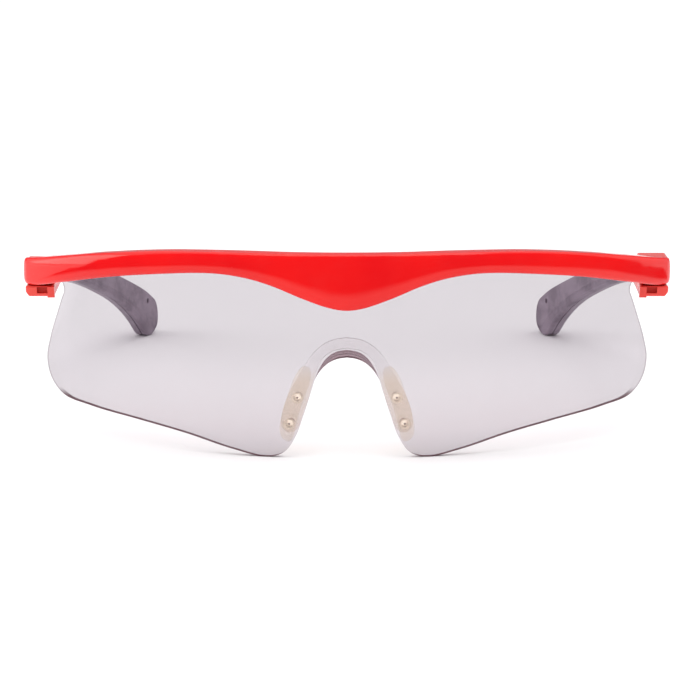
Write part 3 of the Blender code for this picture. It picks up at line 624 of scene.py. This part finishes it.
lens = new_piece("shield_lens", lens_sheet(), [LENS_FACE, LENS_RIM])
middle = to_frame((0, LENS_RADIUS, 0))
normals = [corner.vector.copy() for corner in lens.data.corner_normals]
for face in lens.data.polygons:
    outwards = face.center - middle
    outwards.z = 0
    turn = face.normal.dot(outwards.normalized())
    face.material_index = 0 if abs(turn) > FLAT_ENOUGH else 1
    for corner in face.loop_indices if abs(turn) > FLAT_ENOUGH else ():
        outwards = lens.data.vertices[lens.data.loops[corner].vertex_index].co - middle
        outwards.z = 0
        normals[corner] = outwards.normalized() * (1 if turn > 0 else -1)
lens.data.normals_split_custom_set(normals)  # so that no facet shows in a reflection
stand_for(lens, "front", "lens", "lens")

# %% [markdown]
# ## Nose piece
# A clear silicone arch spans the nose cut behind the lens. Its two legs are pushed through the lens as four
# buttons, each with a raised ring and a small hollow, and a thin ribbed lip fills the top of the cut. The
# lip's dark colour, the dark lines between its ribs and the dark middle of each hollow are painted shade. Two
# softer, cream-coloured pads flare back from the legs to rest on the nose.

# %% Silicone finishes
CREAM_FADE = (0.0155, 0.0195)  # heights between which the legs' cream gives way to the clear arch


def silicone_finish(name, tint, share):
    """Cream low down and clear above: tint is what each lets through, and share is how much is body."""
    finish = Finish(name)
    haze = finish.noise(90.0, 3.0)
    outline = finish.edge_on()
    bumps = finish.bump(finish.noise(700.0), 0.00004, 0.3)
    clear_body = finish.shader(  # light that has come through the silicone is stood in for by a faint glow
        Base_Color=finish.mix(haze, (0.96, 0.94, 0.93), (0.88, 0.86, 0.86)), Roughness=0.34 + haze * 0.12,
        Normal=bumps, IOR=1.3, Emission_Color=(1.0, 0.96, 0.95, 1.0), Emission_Strength=0.22)
    # painted light: a faint cream glow makes the legs' cream look brighter than its lighting gives
    cream_body = finish.shader(
        Base_Color=finish.mix(haze, (1.0, 0.90, 0.78), (0.95, 0.83, 0.71)), Roughness=0.4,
        Normal=bumps, IOR=1.3, Emission_Color=(1.0, 0.90, 0.78, 1.0), Emission_Strength=0.08)
    # painted shade: a dark grey line where the silicone is seen edge-on, standing in for the dark edges of a
    # clear solid
    line = finish.shader(Base_Color=finish.mix(haze, (0.30, 0.25, 0.27), (0.38, 0.33, 0.35)), Roughness=0.4)
    share = share + outline.between(0.72, 0.98) * 0.2
    soft = finish.mixed(
        finish.part(2).between(*CREAM_FADE), finish.mixed(share, finish.clear(tint[0]), cream_body),
        finish.mixed(share, finish.clear(tint[1]), clear_body))
    return finish.done(finish.mixed(outline.between(0.72, 0.94) * 0.6, soft, line))


SILICONE = silicone_finish("clear silicone", ((1.0, 0.975, 0.935), (1.0, 1.0, 1.0)), 0.12)
STUD_SILICONE = silicone_finish("clear silicone studs", ((0.86, 0.82, 0.80), (0.86, 0.84, 0.84)), 0.25)

# painted shade: the lip is coloured a dark purplish brown, as it looks in the shade under the arch
lip_shade_finish = Finish("silicone lip with painted shade")
lip_tone = lip_shade_finish.noise(500.0, 2.0)
LIP_PAINTED_SHADE = lip_shade_finish.done(lip_shade_finish.mixed(0.45, lip_shade_finish.clear((0.97, 0.90, 0.92)), lip_shade_finish.shader(
    Base_Color=lip_shade_finish.mix(lip_tone, (0.46, 0.30, 0.33), (0.58, 0.40, 0.44)), Roughness=0.35)))
# painted shade: a near-black for the troughs between the lip's ribs and the middle of each stud's hollow
shade_line_finish = Finish("painted shade between ribs and in stud hollows")
PAINTED_SHADE_LINE = shade_line_finish.done(shade_line_finish.shader(
    Base_Color=shade_line_finish.mix(shade_line_finish.noise(500.0), (0.07, 0.03, 0.045), (0.12, 0.06, 0.08)),
    Roughness=0.5))

cream = Finish("cream silicone")
cream_tone = cream.noise(130.0, 3.0).between(0.3, 0.7)
cream_clear = cream.mixed(  # paler towards the edges, where the pads are thin
    cream.edge_on().between(0.35, 0.9),
    cream.clear((1.0, 0.972, 0.922)), cream.clear((1.0, 0.995, 0.985)))
# painted light: the pads' body glows faintly in cream, so that they look brighter than their lighting gives
CREAM = cream.done(cream.mixed(0.09, cream_clear, cream.shader(
    Base_Color=cream.mix(cream_tone, (1.0, 0.88, 0.74), (0.95, 0.80, 0.66)),
    Roughness=0.42 + cream_tone * 0.1, IOR=1.41, Normal=cream.bump(cream.noise(1500.0, 3.0), 0.00005, 0.4),
    Emission_Color=(1.0, 0.91, 0.80, 1.0), Emission_Strength=0.06)))
print("made", SILICONE.name, LIP_PAINTED_SHADE.name, "and", CREAM.name)

# %% Nose bridge
# distance from the middle, height, distance behind the lens, width and depth
BRIDGE_PATH = ((13.2, 4.9, 1.05, 3.8, 1.4), (12.3, 9.0, 1.05, 4.6, 1.4), (10.8, 13.0, 1.05, 4.5, 1.5),
               (9.1, 17.0, 1.45, 3.4, 2.0), (6.6, 21.6, 2.4, 2.4, 3.0), (3.6, 23.7, 3.0, 2.3, 3.6),
               (0.0, 24.4, 3.2, 2.3, 3.8))
STUD_HEAD_RADIUS, STUD_HEAD_DEPTH = 1.25, 0.5
HOLLOW_RADIUS = 0.30  # the shaded middle of a stud's hollow
OBLONG_SEGMENTS = 28


def soft_oblong(width, depth):
    """A section between an oblong and an oval."""
    ring = []
    for k in range(OBLONG_SEGMENTS):
        a = 2 * pi * (k + 0.5) / OBLONG_SEGMENTS
        c, s = cos(a), sin(a)
        ring.append((width / 2 * abs(c) ** 0.7 * (1 if c > 0 else -1),
                     depth / 2 * abs(s) ** 0.7 * (1 if s > 0 else -1)))
    return ring


def rounded_end(ends, steps):
    """How wide a bar is, this many rings from its rounded end."""
    return 1.0 if ends >= steps else max(0.12, sqrt(1 - (1 - ends / steps) ** 2))


def bridge_rings():
    half = smooth_path(BRIDGE_PATH, 10)
    path = half + [Vector((-p[0], *p[1:])) for p in half[-2::-1]]
    rings = []
    for i, (s, z, behind, width, depth) in enumerate(path):
        before, after = path[max(i - 1, 0)], path[min(i + 1, len(path) - 1)]
        run = Vector((after[0] - before[0], after[1] - before[1])).normalized()
        across = Vector((run.y, -run.x))
        grown = rounded_end(min(i, len(path) - 1 - i), 5)
        rings.append([on_lens(s + across.x * w, z + across.y * w, -LENS_THICKNESS - behind + d)
                      for w, d in soft_oblong(width * grown, depth * sqrt(grown))])
    return rings


def stud_profile():
    """(distance out from the lens, radius) from inside the leg, over the head and down into its hollow."""
    low, high, r = 0.25, STUD_HEAD_DEPTH + 0.25, STUD_HEAD_RADIUS
    return ((-LENS_THICKNESS - 0.9, STUD_RADIUS), (low, STUD_RADIUS), (low, r - 0.08), (low + 0.1, r),
            (high - 0.2, r), (high - 0.06, r - 0.1), (high, r - 0.3), (high - 0.03, r - 0.5),
            (high - 0.16, r - 0.62), (high - 0.34, r - 0.7), (high - 0.42, 0.2), (high - 0.42, 0.02))


bridge = new_piece("nose_bridge_moulding", loft(bridge_rings()), [SILICONE, STUD_SILICONE, PAINTED_SHADE_LINE])
for s, z in stud_places:
    carve(bridge, turned(on_lens(s, z), facing(s / LENS_RADIUS), stud_profile()), "UNION")
# painted shade: faces near the middle of each stud's hollow get the dark material
hollows = [to_frame(on_lens(s, z, STUD_HEAD_DEPTH - 0.15)) for s, z in stud_places]
for face in bridge.data.polygons:
    if any((face.center - hollow).length < HOLLOW_RADIUS * MM for hollow in hollows):
        face.material_index = 2
    elif (face.center - middle).xy.length > (LENS_RADIUS - LENS_THICKNESS) * MM:
        face.material_index = 1
stand_for(bridge, "front", "silicone", "nose_bridge")

# %% Lip in the top of the nose cut
LIP_INSIDE = ((7.1, 16.9), (5.95, 18.75), (3.95, 20.6), (2.0, 21.45), (0.0, 21.75))
LIP_HEIGHT = ((0.0, 1.6), (2.5, 1.45), (4.5, 0.9), (6.2, 0.3), (7.2, 0.08))
LIP_BEHIND, LIP_THICKNESS, LIP_RIBS, LIP_STEPS = 0.15, 0.45, 3, 24


def lip_rings():
    """Sections of the lip: its back is flat, and its front has low ribs that follow the arch."""
    half = smooth_path(LIP_INSIDE, 8)
    path = half + [Vector((-p.x, p.y)) for p in half[-2::-1]]
    rings = []
    for i, (s, z) in enumerate(path):
        before, after = path[max(i - 1, 0)], path[min(i + 1, len(path) - 1)]
        outwards = Vector((before.y - after.y, after.x - before.x)).normalized()
        if outwards.y < 0:
            outwards = -outwards
        tall = smooth_value(LIP_HEIGHT, abs(s))
        ring = [(0, -LIP_THICKNESS), *((share * tall, 0.1 * cos(2 * pi * LIP_RIBS * share) - 0.1)
                                       for share in spread(0, 1, LIP_STEPS)), (tall, -LIP_THICKNESS)]
        rings.append([on_lens(s + outwards.x * up, z + outwards.y * up, -LENS_THICKNESS - LIP_BEHIND + d)
                      for up, d in ring])
    return rings


lip_mesh = loft(lip_rings())
lip_mesh.faces.ensure_lookup_table()
# painted shade: the faces in the troughs between the ribs get the dark material
for i, face in enumerate(lip_mesh.faces):
    if i % (LIP_STEPS + 3) in {1 + round(LIP_STEPS * (rib + 0.5) / LIP_RIBS) for rib in range(LIP_RIBS)}:
        face.material_index = 1
lip = new_piece("nose_bridge_lip", lip_mesh, [LIP_PAINTED_SHADE, PAINTED_SHADE_LINE])
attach(lip, "front")
print("lip", len(lip.data.polygons), "faces")

# %% Nose pads
NOSE_PAD_PATH = ((12.6, 2.0), (12.3, 5.0), (11.1, 9.5), (9.4, 14.0), (7.6, 18.6))
NOSE_PAD_WIDTH, NOSE_PAD_THICKNESS, NOSE_PAD_FLARE = 7.0, 2.0, radians(55)
PAD_BEHIND = 1.8 + GROOVE_GAP  # clear of the legs


def nose_pad_rings(side):
    path = smooth_path(NOSE_PAD_PATH, 10)
    rings = []
    for i, (s, z) in enumerate(path):
        grown = rounded_end(min(i, len(path) - 1 - i), 10)
        ring = []
        for w, d in soft_oblong(NOSE_PAD_WIDTH * (0.3 + 0.7 * grown), NOSE_PAD_THICKNESS * grown):
            run = w + NOSE_PAD_WIDTH / 2
            crown = 0.35 * (1 - (2 * w / NOSE_PAD_WIDTH) ** 2) * (d < 0)
            outward = run * cos(NOSE_PAD_FLARE) + d * sin(NOSE_PAD_FLARE)
            back = run * sin(NOSE_PAD_FLARE) - (d - crown * 0.5) * cos(NOSE_PAD_FLARE)
            depth = LENS_THICKNESS + PAD_BEHIND + NOSE_PAD_THICKNESS / 4 + back
            ring.append(on_lens(side * (s + outward), z, -depth))
        rings.append(ring)
    return rings


for name, side in SIDES.items():
    pad = new_piece(f"nose_pad_soft_{name}", loft(nose_pad_rings(side)), [CREAM], sharp=60)
    stand_for(pad, "front", "nose_pad", f"nose_pad_{name}")

# %% [markdown]
# ## Temples
# Each temple is a hard grey shell with a soft inner side moulded onto it from about half-way back. The
# outline is a middle line with a half height at each place, and a second curve says how far the outside
# bows in. The moulded surface is matt, blotched where the rubber has cured unevenly, and speckled with lint.

# %% Temple finishes


def temple_finish(name, dark, light, gloss, grain):
    """Grey from dark to light: gloss is its lowest roughness, and grain how deep its pores are."""
    finish = Finish(name)
    blotch = finish.noise(85.0, 6.0, 0.68).between(0.40, 0.60)
    lint = finish.specks(260.0, 0.05) * finish.noise(35.0).between(0.52, 0.6)
    # painted shade: small spots darkened almost to black, as shade lying in pits would look
    pit_shade = finish.specks(420.0, 0.09) * finish.noise(60.0, 3.0).between(0.5, 0.6)
    body = finish.mix(pit_shade * 0.6, finish.mix(blotch, dark, light), (0.06, 0.045, 0.06))
    pores = finish.noise(2600.0, 2.0)
    return finish.done(finish.shader(
        Base_Color=finish.mix(lint * 0.6, body, (0.75, 0.70, 0.72)),
        Roughness=gloss + blotch * 0.12 + pores * 0.06, IOR=1.48,
        Normal=finish.bump(pores * grain + finish.noise(300.0, 2.0), 0.00006, 0.5)))


SHELL = temple_finish("grey shell plastic", (0.25, 0.20, 0.25), (0.34, 0.28, 0.34), 0.34, 0.5)
GRIP = temple_finish("grey grip rubber", (0.20, 0.155, 0.20), (0.32, 0.26, 0.32), 0.55, 1.0)
print("made", SHELL.name, "and", GRIP.name)

# %% Temple shape
TILT_BACK, TILT_HEIGHT = 47.0, 33.2
TONGUE_RADIUS, TONGUE_WIDTH, CLICK_NOTCHES, CLICK_DEPTH = 3.0, 2.9, 5, 0.3
CLICK_STEPS = 12  # points along each notch
PIN_BORE_RADIUS = 0.9
TEMPLE_SIDE = ((50.7, 32.5, 2.9), (62.0, 30.8, 2.85), (76.0, 28.9, 2.9), (95.0, 25.0, 2.95),
               (112.0, 20.0, 3.0), (124.0, 15.8, 3.2), (133.0, 12.0, 3.8), (140.0, 8.4, 4.6))
TIP_BACK, TIP_RADIUS = 144.8, 5.2
TEMPLE_FRONT_WIDTH, TEMPLE_WIDTH, TEMPLE_TAPER = 5.4, 4.2, 16.0
TEMPLE_OUTSIDE, TEMPLE_BOW = 71.6, 15.6
SHELL_WIDTH, PAD_START = 2.3, 84.0
CORD_HOLE, CORD_HOLE_RADIUS = (142.6, 9.6), 0.75
TEMPLE_FRONT = TEMPLE_SIDE[0][0]
temple_line = smooth_path([*TEMPLE_SIDE, (TIP_BACK, TIP_RADIUS, TIP_RADIUS)], 8)


def temple_middle(back):
    """Height of the temple's middle line and half its height, this far back."""
    i = max((k for k in range(len(temple_line) - 1) if temple_line[k][0] <= back), default=0)
    first, second = temple_line[i], temple_line[i + 1]
    here = first.lerp(second, min(max((back - first[0]) / (second[0] - first[0]), 0.0), 1.0))
    return here[1], here[2]


def temple_outside(back):
    return TEMPLE_OUTSIDE - TEMPLE_BOW * ((back - TEMPLE_FRONT) / (TIP_BACK - TEMPLE_FRONT)) ** 1.9


def temple_width(back):
    share = min(1.0, (back - TEMPLE_FRONT) / TEMPLE_TAPER)
    return TEMPLE_FRONT_WIDTH + (TEMPLE_WIDTH - TEMPLE_FRONT_WIDTH) * sin(share * pi / 2)


def temple_frame(back):
    """Outer point, inward way, upward way and run of the temple's section this far back."""
    ahead, behind = max(back - 0.5, TEMPLE_FRONT), min(back + 0.5, TIP_BACK)
    run = Vector((temple_outside(behind) - temple_outside(ahead), behind - ahead,
                  temple_middle(behind)[0] - temple_middle(ahead)[0])).normalized()
    inward = Vector((-run.y, run.x, 0)).normalized()
    upward = inward.cross(run).normalized()
    upward = -upward if upward.z < 0 else upward
    return Vector((temple_outside(back), back, temple_middle(back)[0])), inward, upward, run


def temple_rings(start, side, section):
    """Rings from start to the rounded tip. section gives (in, up) points from a half height and a place."""
    places = [(temple_frame(back), temple_middle(back)[1], back) for back in spread(start, TIP_BACK, 110)]
    last, run = places[-1][0], places[-1][0][3]
    for turn in spread(0, pi / 2 * 0.985, 16)[1:]:
        outer = last[0] + run * (TIP_RADIUS * sin(turn))
        places.append(((outer, *last[1:]), TIP_RADIUS * cos(turn), TIP_BACK + TIP_RADIUS * sin(turn)))
    rings = []
    for (outer, inward, upward, _), half, back in places:
        ring = [outer + inward * a + upward * b for a, b in section(half, back)]
        rings.append([Vector((side * p.x, p.y, p.z)) for p in ring])
    return rings


print("temple height at its tip:", 2 * TIP_RADIUS)

# %% Temple shells


def shell_section(half, back):
    """Full width as far as the soft side starts, then the outer half only, with softly rounded edges."""
    full = temple_width(min(back, TIP_BACK))
    share = min(max((back - PAD_START + 0.4) / 0.8, 0.0), 1.0)
    inner = full + (SHELL_WIDTH - full) * share
    soft = min(0.9, 0.45 * half)
    corner = min(0.6 - 0.45 * share, 0.45 * half)
    upper = [(0.0, 0.2 * half), (0.02, 0.5 * half), (0.12 * soft, half - 1.1 * soft),
             (0.4 * soft, half - 0.45 * soft), (soft, half), (0.5 * (soft + inner), half),
             (inner - corner, half), (inner - 0.2 * corner, half - 0.3 * corner), (inner, half - corner)]
    control = [Vector((a, b)) for a, b in upper] + [Vector((a, -b)) for a, b in reversed(upper)]
    return smooth_ring(control, 3)


def tongue(side):
    """The flat tongue in front of the temple, with click notches round its nose."""
    pin = Vector((0, TILT_BACK, TILT_HEIGHT))
    outline = []
    steps = CLICK_STEPS * CLICK_NOTCHES
    for k, a in enumerate(spread(pi / 2 - radians(20), 3 * pi / 2 + radians(20), steps)):
        within = CLICK_STEPS // 2 <= k <= steps - CLICK_STEPS // 2
        dip = CLICK_DEPTH * max(0.0, -cos(2 * pi * k / CLICK_STEPS)) ** 2 if within else 0
        outline.append(pin + Vector((0, cos(a), sin(a))) * (TONGUE_RADIUS - dip))
    root = TEMPLE_FRONT + 1.5
    height, middle_height = TONGUE_RADIUS * 0.85, temple_middle(root)[0]
    outline += [Vector((0, root, middle_height - height)), Vector((0, root, middle_height + height))]
    centre = fold_axis(side).x
    return prism(outline, (1, 0, 0), centre - TONGUE_WIDTH / 2, centre + TONGUE_WIDTH / 2)


def cord_hole(side):
    outer, inward, _, _ = temple_frame(CORD_HOLE[0])
    outer.z, outer.x, inward.x = CORD_HOLE[1], side * outer.x, side * inward.x
    return turned(outer, inward, ((-3, CORD_HOLE_RADIUS), (TEMPLE_WIDTH + 3, CORD_HOLE_RADIUS)))


pin_bore = ((-90, PIN_BORE_RADIUS), (90, PIN_BORE_RADIUS))
for name, side in SIDES.items():
    shell_mesh = loft(temple_rings(TEMPLE_FRONT, side, shell_section))
    shell = new_piece(f"temple_shell_{name}", shell_mesh, [SHELL])
    carve(shell, tongue(side), "UNION")
    carve(shell, turned((0, TILT_BACK, TILT_HEIGHT), (1, 0, 0), pin_bore))
    carve(shell, cord_hole(side))
    stand_for(shell, f"temple_{name}", "temple_shell", f"temple_arm_{name}")

# %% Soft inner sides
GROOVES = (-0.78, -0.66, -0.54, -0.42)  # shares of the half height, where fine lines run lengthwise
GROOVE_DEPTH, GROOVE_HALF = 0.14, 0.045
SEAM, BEDDING = 0.3, 0.25  # gaps between the soft side and the shell, at its front end and behind it


def grip_section(half, back):
    """A cushion-like section that stands on the shell's inner face, with four fine grooves low down."""
    outer, inner = SHELL_WIDTH + BEDDING, TEMPLE_WIDTH
    begin = min(1.0, (back - PAD_START) / 2.0)
    inner = outer + (inner - outer) * max(0.25, sqrt(1 - (1 - begin) ** 2))
    soft = min(0.8, 0.4 * half)
    ring = [(outer, -half), (outer, half)]
    for share in spread(1, -1, 44):
        edge = max(0.0, (abs(share) * half - (half - soft)) / soft)
        dip = sum(GROOVE_DEPTH * max(0.0, 1 - abs(share - g) / GROOVE_HALF) for g in GROOVES)
        ring.append((inner - 0.65 * soft * (1 - sqrt(max(0.0, 1 - edge**2))) - dip, share * half * 0.995))
    return [Vector(p) for p in ring]


for name, side in SIDES.items():
    grip_mesh = loft(temple_rings(PAD_START + SEAM, side, grip_section))
    grip = new_piece(f"temple_grip_{name}", grip_mesh, [GRIP], sharp=50)
    carve(grip, cord_hole(side))
    stand_for(grip, f"temple_{name}", "temple_rubber", f"temple_pad_{name}")

# %% [markdown]
# ## Hinges
# The links, screws, nuts and pins already have the right shape from the frame, so they stay, and get better
# surfaces: their doubled points are welded, each edge gets a fine round, and the metal parts are brushed.

# %% Metal finishes


def metal_finish(name, dark, light, gloss):
    finish = Finish(name)
    turning = finish.add("ShaderNodeMapping", None, {0: finish.place(), 3: (900.0, 900.0, 9000.0)})
    lines = finish.noise(1.0, 3.0, 0.6, turning)
    tarnish = finish.noise(500.0, 3.0).between(0.4, 0.7)
    return finish.done(finish.shader(
        Base_Color=finish.mix(tarnish, light, dark), Metallic=1.0, Roughness=gloss + lines * 0.15,
        Normal=finish.bump(lines, 0.00002, 0.4)))


STEEL = metal_finish("turned steel", (0.42, 0.41, 0.42), (0.62, 0.61, 0.62), 0.24)
BRASS = metal_finish("turned brass", (0.50, 0.36, 0.16), (0.76, 0.58, 0.28), 0.26)
print("made", STEEL.name, "and", BRASS.name)

# %% Finish the hinge parts
SAME_PLACE = 1e-6  # metres
HINGE_LOOKS = {"hinge_link": (RED_LINK, 0.14), "hinge_screw": (STEEL, 0.06), "hinge_nut": (BRASS, 0.08),
               "tilt_pin": (STEEL, 0.08)}
for part, (material, edge) in HINGE_LOOKS.items():
    for name in SIDES:
        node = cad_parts[f"{part}_{name}"]
        node.data.materials.clear()
        node.data.materials.append(material)
        weld = node.modifiers.new("weld", "WELD")
        weld.merge_threshold = SAME_PLACE
        bevel = node.modifiers.new("round", "BEVEL")
        bevel.width, bevel.segments, bevel.angle_limit = edge * MM, 2, radians(30)
        bevel.use_clamp_overlap, bevel.harden_normals = True, True
print("hinge parts finished:", 2 * len(HINGE_LOOKS))

# %% [markdown]
# ## Table, cards and light
# The table is white and evenly lit, so that the lens shows as a faint tint with soft shadows behind it. What
# a glossy bar shows is mostly its surroundings. So a dark card curves round the front, seen only in
# reflections, and the middle of the bar keeps its full red between a bright table and a bright ceiling. A
# grey card behind stops the ceiling and back wall from washing out the bar's top edge.

# %% White table
TABLE_HALF, TABLE_DROP = 4000, 0.04  # the drop keeps it just clear of the lens's lowest points
table_finish = Finish("white table")
paper = table_finish.noise(9.0, 3.0)
TABLE_WHITE = table_finish.done(table_finish.shader(
    Base_Color=table_finish.mix(paper, (0.90, 0.90, 0.90), (0.92, 0.92, 0.92)), Roughness=0.9,
    Normal=table_finish.bump(table_finish.noise(400.0), 0.0001, 0.05)))
table_mesh = bmesh.new()
bmesh.ops.create_grid(table_mesh, x_segments=1, y_segments=1, size=TABLE_HALF)
bmesh.ops.translate(table_mesh, verts=table_mesh.verts, vec=(0, 0, -TABLE_DROP))
table = new_piece("table", table_mesh, [TABLE_WHITE])
print("table", [round(x, 1) for x in table.dimensions])

# %% Cards


def curved_card(profile, sweep, steps):
    """A sheet round the axis of the lens's curve: profile holds (distance out, height)."""
    mesh = bmesh.new()
    rows = [[mesh.verts.new(Vector((0, LENS_RADIUS, height)) + facing(a) * out) for out, height in profile]
            for a in spread(*sweep, steps)]
    for first, second in zip(rows, rows[1:]):
        for k in range(len(profile) - 1):
            mesh.faces.new((first[k], first[k + 1], second[k + 1], second[k]))
    return mesh


def only_in_reflections(card):
    card.visible_camera = card.visible_diffuse = card.visible_shadow = False
    card.visible_transmission = card.visible_volume_scatter = False


print("card helpers ready")

# %% Dark card
CARD_SWEEP = (radians(-76), radians(91))
CARD_PROFILE = ((130, 1.5), (500, 1.5), (600, 60), (620, 160), (620, 1150))  # (distance out, height)
CARD_FADE = (0.145, 0.215)  # metres out, between which the card goes from clear to dark
card_finish = Finish("dark card")
felt = card_finish.noise(30.0, 4.0)
CARD_DARK = card_finish.done(card_finish.mixed(
    out_from_axis(card_finish).between(*CARD_FADE), card_finish.clear((1, 1, 1)), card_finish.shader(
        Base_Color=card_finish.mix(felt, (0.012, 0.012, 0.013), (0.03, 0.028, 0.03)), Roughness=1.0)))
dark_card = new_piece("dark_card", curved_card(CARD_PROFILE, CARD_SWEEP, 48), [CARD_DARK])
only_in_reflections(dark_card)
print("dark card:", len(dark_card.data.polygons), "faces")

# %% Grey card
GREY_SWEEP = (radians(118), radians(242))
GREY_PROFILE = ((640, 40), (640, 620))
grey_finish = Finish("grey card")
grey_felt = grey_finish.noise(30.0, 4.0)
GREY = grey_finish.done(grey_finish.shader(
    Base_Color=grey_finish.mix(grey_felt, (0.24, 0.235, 0.24), (0.28, 0.275, 0.28)), Roughness=1.0))
grey_card = new_piece("grey_card", curved_card(GREY_PROFILE, GREY_SWEEP, 32), [GREY])
only_in_reflections(grey_card)
print("grey card:", len(grey_card.data.polygons), "faces")

# %% Light
world = bpy.data.worlds.new("studio")
world.use_nodes = True
backdrop = world.node_tree.nodes["Background"].inputs
backdrop["Color"].default_value = (1.0, 0.99, 1.0, 1.0)
backdrop["Strength"].default_value = 1.14
bpy.context.scene.world = world
bpy.context.scene.view_settings.view_transform = "Standard"


def soft_box(name, place, target, size, watts):
    data = bpy.data.lights.new(name, "AREA")
    data.shape, data.size, data.size_y, data.energy = "RECTANGLE", *size, watts
    box = bpy.data.objects.new(name, data)
    box.location = Vector(place)
    box.rotation_euler = (Vector(target) - box.location).to_track_quat("-Z", "Y").to_euler()
    box.visible_camera = False
    bpy.context.scene.collection.objects.link(box)


soft_box("ceiling_box", (0.05, -0.15, 1.1), (0, -0.02, 0), (0.9, 0.7), 3.0)
soft_box("left_box", (-0.75, 0.02, 0.28), (0, 0, 0.03), (0.35, 0.5), 1.2)
